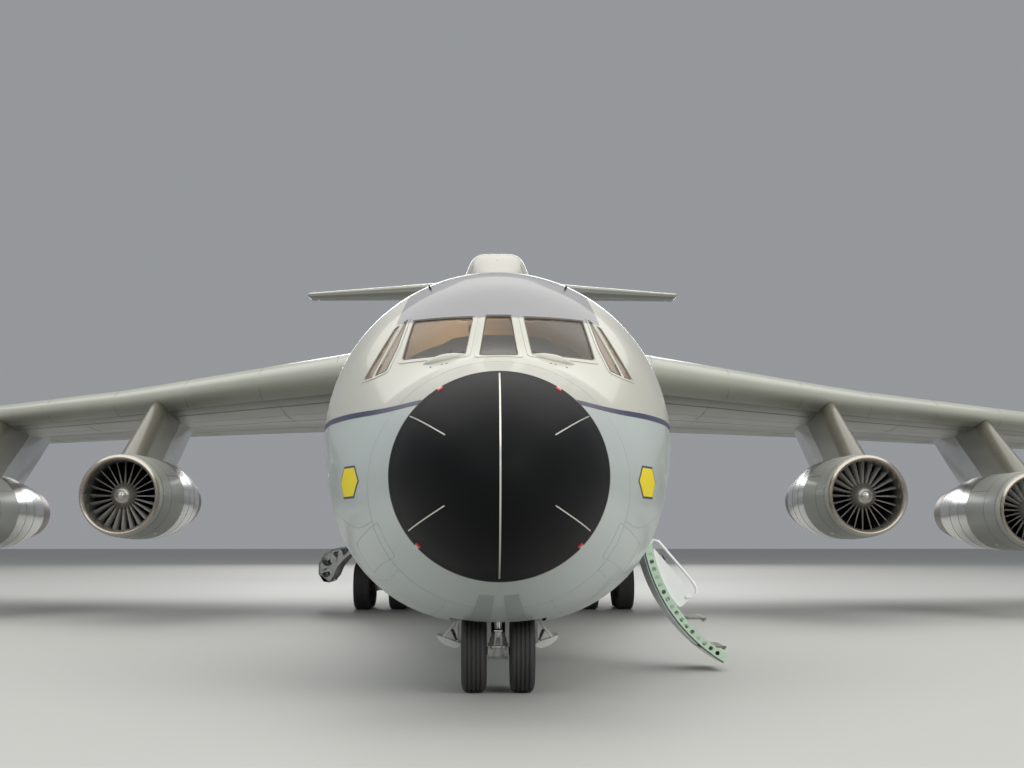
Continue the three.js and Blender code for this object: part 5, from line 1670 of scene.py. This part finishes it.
# %% Nose fork and wheels
fork = Shape((0, NOSE_Y, 0))
piston = [(0.47, 0), (0.47, 0.078), (1.28, 0.078), (1.28, 0)]
collar = [(0.81, 0), (0.81, 0.1), (0.82, 0.106), (0.95, 0.106), (0.96, 0.1), (0.96, 0)]
foot = [(0.36, 0), (0.37, 0.07), (0.4, 0.098), (0.56, 0.098), (0.6, 0.085), (0.6, 0)]
for profile, look, sides in ((piston, CHROME, 28), (collar, GEAR_WHITE, 32), (foot, GEAR_WHITE, 28)):
    fork.turned(profile, (0, 0, 0), look, "z", sides)
fork.rod((-0.115, 0, NOSE_RADIUS), (0.115, 0, NOSE_RADIUS), 0.085, GEAR_WHITE, 28)
for end in (0.88, 0.5):
    torque_link(fork, 0.045, 0.5, 0.011, (-0.08, end, 0.035), (-0.27, 0.685, 0.02))
    fork.rod((-0.07, -0.085, end), (0.07, -0.085, end), 0.022, CHROME, 12)
fork.rod((-0.045, -0.265, 0.685), (0.045, -0.265, 0.685), 0.02, CHROME, 12)
fork.box((-0.115, 0.115), (-0.125, -0.095), (0.86, 0.9), GEAR_WHITE)
lamp = [(-0.16, 0), (-0.163, 0.036), (-0.155, 0.04), (-0.11, 0.036), (-0.08, 0.012), (-0.08, 0)]
for side in (1, -1):
    fork.turned(lamp, (side * 0.1, 0, 0.885), [LAMP_GLASS, STRIP_METAL, *[GEAR_WHITE] * 3], "y", 20)
fork.place("nose_fork_skin", "gear_paint", "nose_gear_fork", body="nose_fork")

nose_master = make_wheels("nose_wheels_skin", 0.14, NOSE_RADIUS, 0.2, 0.265, 0.045, (0.5, 0.17, -0.17, -0.5))
nose_wheels = copy_piece(nose_master, "nose_wheels_skin_pair", (0, NOSE_Y, NOSE_RADIUS))
bpy.data.objects.remove(nose_master)
place(nose_wheels, "tyre_rubber", "nose_wheels", body="nose_wheels")

# %% Nose gear doors
plate = [(0.413, 0.478), (0.43, 0.445), (0.5, 0.43), (0.6, 0.465), (0.68, 0.53), (0.7, 0.575), (0.668, 0.57)]
for name, side in SIDES:
    door = Shape().prism([(side * x, 4.34, z) for x, z in plate], (0, 0.62, 0), GEAR_WHITE)
    door.box((side * 0.46, side * 0.43), (4.36, 4.96), (0.7, 0.95), GEAR_WHITE)
    door.box((side * 0.525, side * 0.43), (4.36, 4.96), (0.92, 0.95), GEAR_WHITE)
    for y in (4.42, 4.86):
        door.rod((side * 0.45, y, 0.93), (side * 0.47, y, 0.5), 0.018, GEAR_WHITE, 10)
        door.rod((side * 0.45, y, 0.76), (side * 0.62, y, 0.55), 0.014, GEAR_WHITE, 10)
        door.rod((side * 0.47, y, 0.52), (side * 0.53, y, 0.64), 0.02, DARK_METAL, 10)
        gusset = [(side * x, y - 0.008, z) for x, z in ((0.44, 0.5), (0.64, 0.57), (0.46, 0.72))]
        door.prism(gusset, (0, 0.016, 0), GEAR_WHITE)
    door.place(f"nose_door_{name}", "gear_paint", f"nose_gear_door_{name}")

# The two closed forward door plates under the nose have a real outline, but their darker colour is painted
# shade, as they face the floor.
belly = Shape()
patch = patch_rings([(0.05, 2.1), (0.2, 2.1), (0.31, 2.95), (0.09, 2.95)], (0.16, 2.55), 5)
for side in (1, -1):
    tops = [[(side * x, y - 0.001, belly_height(x, y) - 0.004) for x, y in ring] for ring in patch]
    feet = [[(side * x, y, belly_height(x, y) + 0.01) for x, y in ring] for ring in patch[::-1]]
    belly.loft(tops + feet, BELLY_DOOR_SHADE)
belly.place("belly_patches", "paint_upper")

# %% [markdown]
# ## Crew door
# The crew door is part of the hull's curved side. It is hinged along its lower edge and hangs open, so that
# its inner face becomes a stair. The leaf is a thin outer skin, and its pale green edges have rows of holes.
# The leaf's points are worked out in the closed place and then turned open about the hinge.

# %% Places on the open door
HINGE_X, HINGE_Z = 1.8, 1.585
DOOR_OPEN = math.radians(135)
DOOR_FRONT, DOOR_BACK = 6.316, 7.184
DOOR_LOW, DOOR_HIGH = math.radians(54.2), math.radians(104)
HULL_MIDDLE, HULL_RADIUS = 2.88, 2.16
HOLE_COUNT = 15


def opened(point):
    """A point of the closed door, turned open about the hinge."""
    x, y, z = point
    across, up = x - HINGE_X, z - HINGE_Z
    cos, sin = math.cos(DOOR_OPEN), math.sin(DOOR_OPEN)
    return Vector((HINGE_X + across * cos + up * sin, y, HINGE_Z - across * sin + up * cos))


def door_arc(angle, y, radius):
    return opened((radius * math.sin(angle), y, HULL_MIDDLE - radius * math.cos(angle)))


def door_slab(shape, angles, ys, radii, look, count=30):
    """A curved plate of the open door between two angles, two distances along the hull and two radii."""
    corners = [(ys[0], radii[1]), (ys[1], radii[1]), (ys[1], radii[0]), (ys[0], radii[0])]
    rings = [[door_arc(angle, *corner) for corner in corners] for angle in steps(*angles, count)]
    return shape.loft(rings, look)


print("the open door's upper edge:", [round(v, 3) for v in door_arc(DOOR_HIGH, DOOR_FRONT, HULL_RADIUS)])

# %% Door leaf
low_stripe, high_stripe = [math.acos((HULL_MIDDLE - z) / HULL_RADIUS) for z in (STRIPE_LOW, STRIPE_HIGH)]
leaf = Shape()
for low, high, look, count in ((DOOR_LOW, low_stripe, POD_PAINT, 30),
                               (low_stripe, high_stripe, STRIPE_NAVY, 3),
                               (high_stripe, DOOR_HIGH, DOOR_CREAM, 8)):
    door_slab(leaf, (low, high), (DOOR_FRONT, DOOR_BACK), (2.135, 2.16), look, count)
inside = (DOOR_FRONT + 0.03, DOOR_BACK - 0.03)
door_slab(leaf, (DOOR_LOW, DOOR_HIGH), inside, (2.115, 2.136), PRIMER)
for angle in steps(math.radians(62), math.radians(98), 4):
    door_slab(leaf, (angle, angle + 0.012), inside, (2.05, 2.12), PRIMER, 2)
for angle in (math.radians(55.4), math.radians(102.7)):
    door_slab(leaf, (angle - 0.02, angle), inside, (2.04, 2.12), PRIMER, 2)
edges = []
for y in (DOOR_FRONT, inside[1]):
    edge = door_slab(Shape(), (DOOR_LOW, DOOR_HIGH), (y, y + 0.03), (2.03, 2.15), MINT).piece("edge")
    for angle in steps(DOOR_LOW + 0.06, DOOR_HIGH - 0.06, HOLE_COUNT):
        ends = [door_arc(angle, along, 2.083) for along in (y - 0.1, y + 0.1)]
        carve(edge, Shape().rod(*ends, 0.028, MINT))
    edges.append(edge)
arm = [(1.74, 1.62), (1.8, 1.56), (1.83, 1.6), (1.78, 1.74), (1.745, 1.74)]
for y in (6.42, 7.0):
    leaf.prism([opened((x, y, z)) for x, z in arm], (0, 0.08, 0), PRIMER)
leaf.rod((HINGE_X, 6.38, HINGE_Z), (HINGE_X, 7.12, HINGE_Z), 0.042, PRIMER, 20)

# %% [markdown]
# The stair has a panel on each side, four treads with raised grip bars and a white tube handrail. The front
# panel is plain white and the rear one is the same green as the door's edges.

# %% Stair
STAIR_SLOPE = math.radians(-55)


def stair_place(distance, lift):
    """The x and z of a place at a distance down the stair and a lift above its slope."""
    cos, sin = math.cos(STAIR_SLOPE), math.sin(STAIR_SLOPE)
    return HINGE_X + distance * cos - lift * sin, HINGE_Z + distance * sin + lift * cos


PANEL = [(2.0, 1.57), (2.46, 1.04), (2.49, 0.96), (2.45, 0.89), (2.34, 0.79), (2.19, 0.98), (2.1, 1.18),
         (2.04, 1.36)]
for y, look in ((6.35, PANEL_WHITE), (7.12, MINT)):
    leaf.prism([(x, y, z) for x, z in round_corners(PANEL, 0.05)], (0, 0.03, 0), look)
for distance in (0.3, 0.74, 1.18, 1.62):
    x, z = stair_place(distance, 0.1)
    leaf.box((x - 0.12, x + 0.12), (6.38, 7.12), (z - 0.03, z - 0.008), FLOOR_METAL)
    leaf.box((x + 0.1, x + 0.12), (6.38, 7.12), (z - 0.055, z - 0.004), MINT)
    for across in steps(-0.09, 0.08, 5):
        leaf.box((x + across - 0.006, x + across + 0.006), (6.42, 7.08), (z - 0.01, z), STRIP_METAL)
RAIL = [(1.93, 1.5), (1.95, 1.6), (2.0, 1.66), (2.07, 1.645), (2.3, 1.375), (2.5, 1.135), (2.55, 1.05),
        (2.55, 0.98), (2.51, 0.935), (2.42, 0.93)]
leaf.sweep([(x, 6.34, z) for x, z in RAIL], 0.017, PANEL_WHITE)
door = join_pieces("crew_door_skin", [leaf.piece("leaf"), *edges])
place(door, "paint_upper", "crew_door", body="crew_door")

lugs = Shape()
for y in (6.3, 7.15):
    lugs.box((1.65, 1.83), (y, y + 0.05), (1.55, 1.6), FLOOR_METAL)
lugs.rod((HINGE_X, 6.31, HINGE_Z), (HINGE_X, 7.19, HINGE_Z), 0.02, STRIP_METAL, 14)
lugs.place("door_lugs", "bare_metal")
for y in (DOORWAY_Y[0] - 0.03, DOORWAY_Y[1]):
    jamb = Shape().box((1.5, 2.04), (y, y + 0.03), (1.6, 3.45), PRIMER).piece(f"door_jamb_{round(y * 100)}")
    place(carve(jamb, hull_solid(6.2, 7.4, 0.3, 0.1, PRIMER), "INTERSECT"), "primer_green")

# %% [markdown]
# ## Cargo ramp and petal doors
# The ramp is a wedge of the lower hull that hinges at the end of the cargo floor. Its top carries grip bars
# and side kerbs. Behind it two long petal doors close the tail; each is a piece of the hull's skin with
# curved frames inside, hinged along its upper edge.

# %% Ramp
RAMP_TOP_START, RAMP_TOP_END = (33.53, 1.6), (RAMP_BACK, 2.35)
ramp_side = [(33.84, 0.8), (RAMP_BACK, 0), RAMP_TOP_END, RAMP_TOP_START]
ramp = Shape().side_view(ramp_side, -RAMP_HALF, RAMP_HALF, FLOOR_METAL).piece("ramp_skin")
carve(ramp, hull_solid(33.2, 37.6, 0.2), "INTERSECT")
for side in (1, -1):
    carve(ramp, Shape().box((side * 0.62, side * 0.78), (33.3, 33.75), (1.3, 1.7), FLOOR_METAL))


def ramp_top(y):
    return row_at([RAMP_TOP_START, RAMP_TOP_END], y)[1]


grip = Shape()
for y in steps(33.95, 37.0, 16):
    low, high = ramp_top(y) - 0.01, ramp_top(y) + 0.012
    grip.side_view([(y, low), (y + 0.03, low), (y + 0.03, high), (y, high)], -1.38, 1.38, STRIP_METAL)
kerb = [(33.8, ramp_top(33.8) - 0.01), (37.1, ramp_top(37.1) - 0.01),
        (37.1, ramp_top(37.1) + 0.05), (33.8, ramp_top(33.8) + 0.05)]
for side in (1, -1):
    grip.side_view(kerb, side * 1.48, side * 1.53, MINT)
    for start, end in ((0.55, 0.61), (0.79, 0.85)):
        grip.rod((side * start, 33.6, 1.52), (side * end, 33.6, 1.52), 0.05, FLOOR_METAL)
ramp = join_pieces("ramp_skin", [ramp, grip.piece("ramp_grip")])
place(ramp, "paint_upper", "cargo_ramp", body="cargo_ramp")

# %% Petal doors
HINGE_SHARES = (0.06, 0.92)


def inner_spot(y, angle, inset):
    """A spot of the hull's lining, with its direction into the hull."""
    return hull_point(y, angle, -inset), -hull_normal(y, angle)


pins = Shape()
for name, side in SIDES:
    shell = hull_shell(SPLIT["tail"], 46, 0.3).piece(f"petal_skin_{name}")
    carve(shell, below_hinge(PETAL_FRONT, PETAL_BACK, 0.016, *sorted((side * 0.016, side * 3))), "INTERSECT")
    ribs = Shape()
    for y in steps(37.8, 45.0, 9):
        lowest = math.asin(min(0.9, 0.1 / hull_row(y)[0]))
        turns = steps(side * lowest, side * (PETAL_ANGLE - 0.12), 14)
        ribs.ribbon([inner_spot(y, turn, 0.135) for turn in turns], 0.05, 0.07, MINT, depth=0.01)
    for turn in (side * PETAL_ANGLE * 0.35, side * PETAL_ANGLE * 0.68):
        spots = [inner_spot(y, turn, 0.135) for y in steps(37.5, 45.2, 16)]
        ribs.ribbon(spots, 0.04, 0.045, MINT, depth=0.01)
    start, end = [Vector((side * petal_hinge(y)[0], y, petal_hinge(y)[1])) for y in (PETAL_FRONT, PETAL_BACK)]
    for share in HINGE_SHARES:
        ribs.rod(start.lerp(end, share - 0.018), start.lerp(end, share + 0.018), 0.046, FLOOR_METAL)
        pins.rod(start.lerp(end, share - 0.03), start.lerp(end, share + 0.03), 0.03, STRIP_METAL, 12)
    petal = join_pieces(f"petal_skin_{name}", [shell, ribs.piece("petal_ribs")])
    place(petal, "paint_upper", f"petal_door_{name}", body=f"petal_door_{name}")
pins.place("petal_pins", "bare_metal")

# %% [markdown]
# ## Hold
# The hold has a strong metal floor with rows of rollers and tie-down rings for pallets, and curved frames
# behind the lining. The rollers and rings repeat at a fixed step, so they come from the same node tree that
# sets the rivets.

# %% Cargo floor
FLOOR_START, FLOOR_END, FLOOR_UNDER, FLOOR_LEVEL = 5.93, 33.44, 1.45, 1.6
edge = [(-1.42, FLOOR_UNDER), (1.42, FLOOR_UNDER), (1.555, FLOOR_LEVEL), (-1.555, FLOOR_LEVEL)]
hold_floor = Shape().loft([[(x, y, z) for x, z in edge] for y in (FLOOR_START, FLOOR_END)], FLOOR_METAL)
for side in (1, -1):
    hold_floor.box((side * 0.64, side * 0.76), (33.4, 33.64), (1.47, 1.57), FLOOR_METAL)
    hold_floor.rod((side * 0.55, 33.6, 1.52), (side * 0.85, 33.6, 1.52), 0.03, STRIP_METAL, 14)
    for x in (0.3, 1.1):
        for middle in (side * x - 0.09, side * x + 0.09):
            hold_floor.box((middle - 0.012, middle + 0.012), (8.0, 33.2), (1.595, 1.63), STRIP_METAL)
hold_floor.place("hold_floor", "interior_paint", "cargo_floor")

for name, xs, ys, gap, radius, height, look in (
        ("floor_rollers", (0.3, 1.1), (8.1, 20, 33.1), 0.35, 0.055, 0.03, CHROME),
        ("tie_down_rings", (0.7, 1.4), (8.0, 20, 33.0), 0.5, 0.045, 0.012, DARK_METAL)):
    lines = []
    for x in sorted((*xs, -xs[0], -xs[1])):
        lines.append([((x, y, FLOOR_LEVEL), (0, 0, 1)) for y in ys])
    place(rivet_lines(name, lines, gap, radius, height, look), "bare_metal")

hold_frames = Shape()
turns = steps(math.radians(58), math.radians(302), 48)
for y in steps(7.6, 33.0, 24):
    hold_frames.ribbon([inner_spot(y, turn, 0.138) for turn in turns], 0.06, 0.05, LINING, depth=0.01)
hold_frames.place("hold_frames", "interior_paint")

# %% [markdown]
# ## Flight deck
# Through the windshield the photograph shows a warm beige rear wall, a dark glareshield over the instrument
# panel and the tops of the seats. The deck has a floor, a panel with round dials, a centre pedestal with
# throttle levers, two control yokes and an overhead panel.

# %% Deck, wall and panel
DECK_TOP, DECK_FRONT, DECK_BACK = 2.62, 2.32, 5.85
deck = Shape().box((-2.2, 2.2), (DECK_FRONT, DECK_BACK), (DECK_TOP - 0.12, DECK_TOP), FLOOR_METAL)
deck = carve(deck.piece("deck_floor"), hull_solid(2.0, 5.9, 0.12, 0.145, FLOOR_METAL), "INTERSECT")
place(deck, "interior_paint", "flight_deck")
wall = Shape().box((-2.2, 2.2), (DECK_BACK - 0.1, DECK_BACK), (DECK_TOP, 5.2), COCKPIT_CREAM)
wall = carve(wall.piece("deck_wall"), hull_solid(5.5, 5.95, 0.1, 0.145, COCKPIT_CREAM), "INTERSECT")
for half, back, zs in ((0.36, 5.77, (2.5, 4.45)), (0.3, 5.78, (3.6, 4.3))):
    carve(wall, Shape().box((-half, half), (5.7, back), zs, COCKPIT_CREAM))
place(wall, "interior_paint")

hood_rings = []
for x in steps(-1.0, 1.0, 16):
    lift = 0.06 + 0.16 * max(0, 1 - (abs(x) / 1.02) ** 3)
    middle = 0.07 if abs(x) < 0.56 else 0.0
    hood_rings.append([(x, 2.84, 3.4), (x, 3.7, 3.5 + lift * 0.4), (x, 3.72, 3.62 + lift + middle),
                       (x, 3.6, 3.65 + lift + middle), (x, 2.98, 3.5 + lift * 0.6)])
hood = Shape().loft(hood_rings, COCKPIT_DARK).piece("hood")
board = Shape().box((-1.02, 1.02), (2.8, 3.12), (2.72, 3.44), COCKPIT_DARK).piece("board")
for part in (board, hood):
    carve(part, hull_solid(2.0, 5.9, 0.12, 0.15, COCKPIT_DARK), "INTERSECT")

LARGE_DIAL = [(3.119, 0), (3.119, 0.072), (3.135, 0.072), (3.135, 0.06), (3.128, 0.058), (3.128, 0)]
LARGE_LOOKS = [COCKPIT_DARK, STRIP_METAL, STRIP_METAL, DIAL_GLASS, DIAL_GLASS]
SMALL_DIAL = [(3.119, 0), (3.119, 0.046), (3.132, 0.046), (3.132, 0)]
panel = Shape()
for column in range(4):
    for row in range(2):
        for x, z in ((side * (0.36 + 0.17 * column), 3.32 - 0.19 * row) for side in (1, -1)):
            panel.turned(LARGE_DIAL, (x, 0, z), LARGE_LOOKS, sides=24)
            turn = 0.9 * column + 1.7 * row
            tip = (x + 0.045 * math.sin(turn), 3.131, z + 0.045 * math.cos(turn))
            panel.rod((x, 3.131, z), tip, 0.004, PANEL_WHITE, 6)
    for row in range(3):
        centre = (-0.165 + 0.11 * column, 0, 3.34 - 0.15 * row)
        panel.turned(SMALL_DIAL, centre, [COCKPIT_DARK, STRIP_METAL, DIAL_GLASS], sides=20)
place(join_pieces("instrument_panel", [panel.piece("dials"), board, hood]), "interior_paint")

# %% Pedestal, yokes and overhead panel
SEAT_X = 0.62
COLUMN = [(3.5, 2.62), (3.48, 3.0), (3.5, 3.2), (3.56, 3.26)]
YOKE = [(-0.17, 0.17), (-0.19, 0.06), (-0.14, -0.03), (-0.05, 0.0), (0.05, 0.0), (0.14, -0.03),
        (0.19, 0.06), (0.17, 0.17)]
controls = Shape()
pedestal = [(3.12, 2.62), (4.2, 2.62), (4.2, 2.98), (3.75, 3.08), (3.12, 3.16)]
controls.side_view(pedestal, -0.2, 0.2, COCKPIT_DARK)
for i, x in enumerate((-0.11, -0.037, 0.037, 0.11)):
    lean = 0.03 * (i % 2)
    controls.rod((x, 3.55 + lean, 3.05), (x, 3.5 + lean, 3.27), 0.012, STRIP_METAL, 8)
    controls.rod((x - 0.02, 3.5 + lean, 3.28), (x + 0.02, 3.5 + lean, 3.28), 0.022, PANEL_WHITE, 12)
for x in (SEAT_X, -SEAT_X):
    controls.sweep([(x, y, z) for y, z in COLUMN], [0.035, 0.028, 0.025, 0.025], DARK_METAL)
    controls.sweep([(x + across, 3.58, 3.26 + lift) for across, lift in YOKE], 0.017, COCKPIT_DARK, 10)
    controls.rod((x - 0.03, 3.57, 3.27), (x + 0.03, 3.57, 3.27), 0.045, DARK_METAL, 14)
    for across in (-0.12, 0.12):
        controls.box((x + across - 0.05, x + across + 0.05), (3.28, 3.33), (2.68, 2.84), DARK_METAL)
overhead = [(-0.3, 4.65, 4.5), (0.3, 4.65, 4.5), (0.24, 4.65, 4.38), (-0.24, 4.65, 4.38)]
controls.prism(overhead, (0, 0.7, 0), COCKPIT_DARK)
for row in range(5):
    for column in range(6):
        x, y = -0.18 + 0.072 * column, 4.75 + 0.12 * row
        controls.rod((x, y, 4.39), (x, y - 0.01, 4.355), 0.009, STRIP_METAL, 6)
controls.box((-0.34, -0.2), (3.92, 4.0), (4.02, 4.1), COCKPIT_DARK)
controls.place("flight_controls", "interior_paint")

# %% [markdown]
# Each seat has a metal base on rails and a hard shell, and soft parts: a cushion, a back and a headrest.
# Their fabric is a warm grey weave.


# %% Seats
def cushion(name, xs, ys, zs, width):
    corners = [(xs[0], zs[0]), (xs[1], zs[0]), (xs[1], zs[1]), (xs[0], zs[1])]
    pad = Shape().loft([[(x, y, z) for x, z in corners] for y in steps(*ys, 3)], SEAT_CLOTH)
    return soften(pad.piece(name), width, 4)


for name, x in (("pilot", SEAT_X), ("copilot", -SEAT_X)):
    stand = Shape((x, 0, 0)).box((-0.18, 0.18), (4.1, 4.5), (DECK_TOP + 0.001, 2.9), DARK_METAL)
    stand.box((-0.25, 0.25), (4.02, 4.58), (2.88, 2.93), DARK_METAL)
    stand.box((-0.24, 0.24), (4.56, 4.6), (2.9, 3.72), DARK_METAL)
    for side in (-1, 1):
        stand.rod((side * 0.29, 4.56, 3.2), (side * 0.29, 4.22, 3.2), 0.028, COCKPIT_DARK, 14)
        stand.rod((side * 0.232, 4.56, 3.2), (side * 0.29, 4.56, 3.2), 0.02, DARK_METAL, 10)
        stand.box((side * 0.12, side * 0.16), (3.8, 4.9), (DECK_TOP, DECK_TOP + 0.025), STRIP_METAL)
    stand.place(f"{name}_seat_frame", "interior_paint")
    seat = cushion(f"{name}_cushion", (x - 0.25, x + 0.25), (4.0, 4.5), (2.93, 3.06), 0.04)
    back = cushion(f"{name}_back", (x - 0.24, x + 0.24), (4.46, 4.56), (3.04, 3.66), 0.04)
    rest = cushion(f"{name}_headrest", (x - 0.13, x + 0.13), (4.48, 4.57), (3.68, 3.86), 0.03)
    place(seat, "seat_fabric", f"{name}_seat")
    place(back, "seat_fabric")
    place(rest, "seat_fabric")

# %% [markdown]
# ## Camera, floor and light
# The photograph was taken standing on the floor, a few metres ahead of the nose and looking slightly up. The
# camera has that place, tilt and focal length. The floor is plain and pale, and large soft lights hang above
# and in front, as in a studio, so the underside still gets light from the floor.

# %% Camera
camera_data = bpy.data.cameras.new("photo_camera")
camera_data.lens = 54.1
camera_data.sensor_width = 36
camera_data.clip_end = 400
camera = link_object("photo_camera", camera_data)
camera.location = (-0.045, -19.5725, 0.85)
LOOK_UP, LOOK_RIGHT = math.radians(5.67), math.radians(0.81)
camera.rotation_euler = (math.pi / 2 + LOOK_UP, 0, -LOOK_RIGHT)
scene.camera = camera
print("camera", tuple(round(value, 3) for value in camera.location))

# %% Floor and lights
floor_finish, tree, shader, coords = start_finish("pale_floor", 0.6)
shader.inputs["Base Color"].default_value = (0.45, 0.45, 0.43, 1)
FLOOR_REACH = 90
corners = [(-FLOOR_REACH, -FLOOR_REACH), (FLOOR_REACH, -FLOOR_REACH), (FLOOR_REACH, FLOOR_REACH),
           (-FLOOR_REACH, FLOOR_REACH)]
floor_mesh = bpy.data.meshes.new("floor")
floor_mesh.from_pydata([(x, y, -0.001) for x, y in corners], [], [(0, 1, 2, 3)])
floor_mesh.materials.append(floor_finish)
link_object("floor", floor_mesh)


def soft_light(name, spot, target, size, power, colour=(1, 1, 1)):
    data = bpy.data.lights.new(name, "AREA")
    data.shape, data.size, data.size_y = "RECTANGLE", size[0], size[1]
    data.energy, data.color = power, colour
    lamp = link_object(name, data)
    lamp.location = spot
    lamp.rotation_euler = (Vector(target) - Vector(spot)).to_track_quat("-Z", "Y").to_euler()


soft_light("ceiling", (0, -2, 16), (0, -2, 0), (34, 34), 5000, (1.0, 0.98, 0.94))
soft_light("front_left", (13, -27, 10), (0, -9, 1.5), (16, 8), 2700, (1.0, 0.98, 0.94))
soft_light("front_right", (-13, -27, 10), (0, -9, 1.5), (16, 8), 1350, (0.96, 0.98, 1.0))
soft_light("rear", (0, 26, 10), (0, 6, 2), (14, 8), 1600)
soft_light("cabin_lamp", (-0.3, -10.4, 2.12), (-0.1, -9.95, 1.8), (0.3, 0.3), 3, (1.0, 0.8, 0.55))
scene.view_settings.view_transform = "Standard"
world = bpy.data.worlds.new("studio")
scene.world = world
world.use_nodes = True
sky = world.node_tree.nodes["Background"]
sky.inputs["Color"].default_value = (0.55, 0.57, 0.6, 1)
sky.inputs["Strength"].default_value = 0.55
print("stage ready")

# %% [markdown]
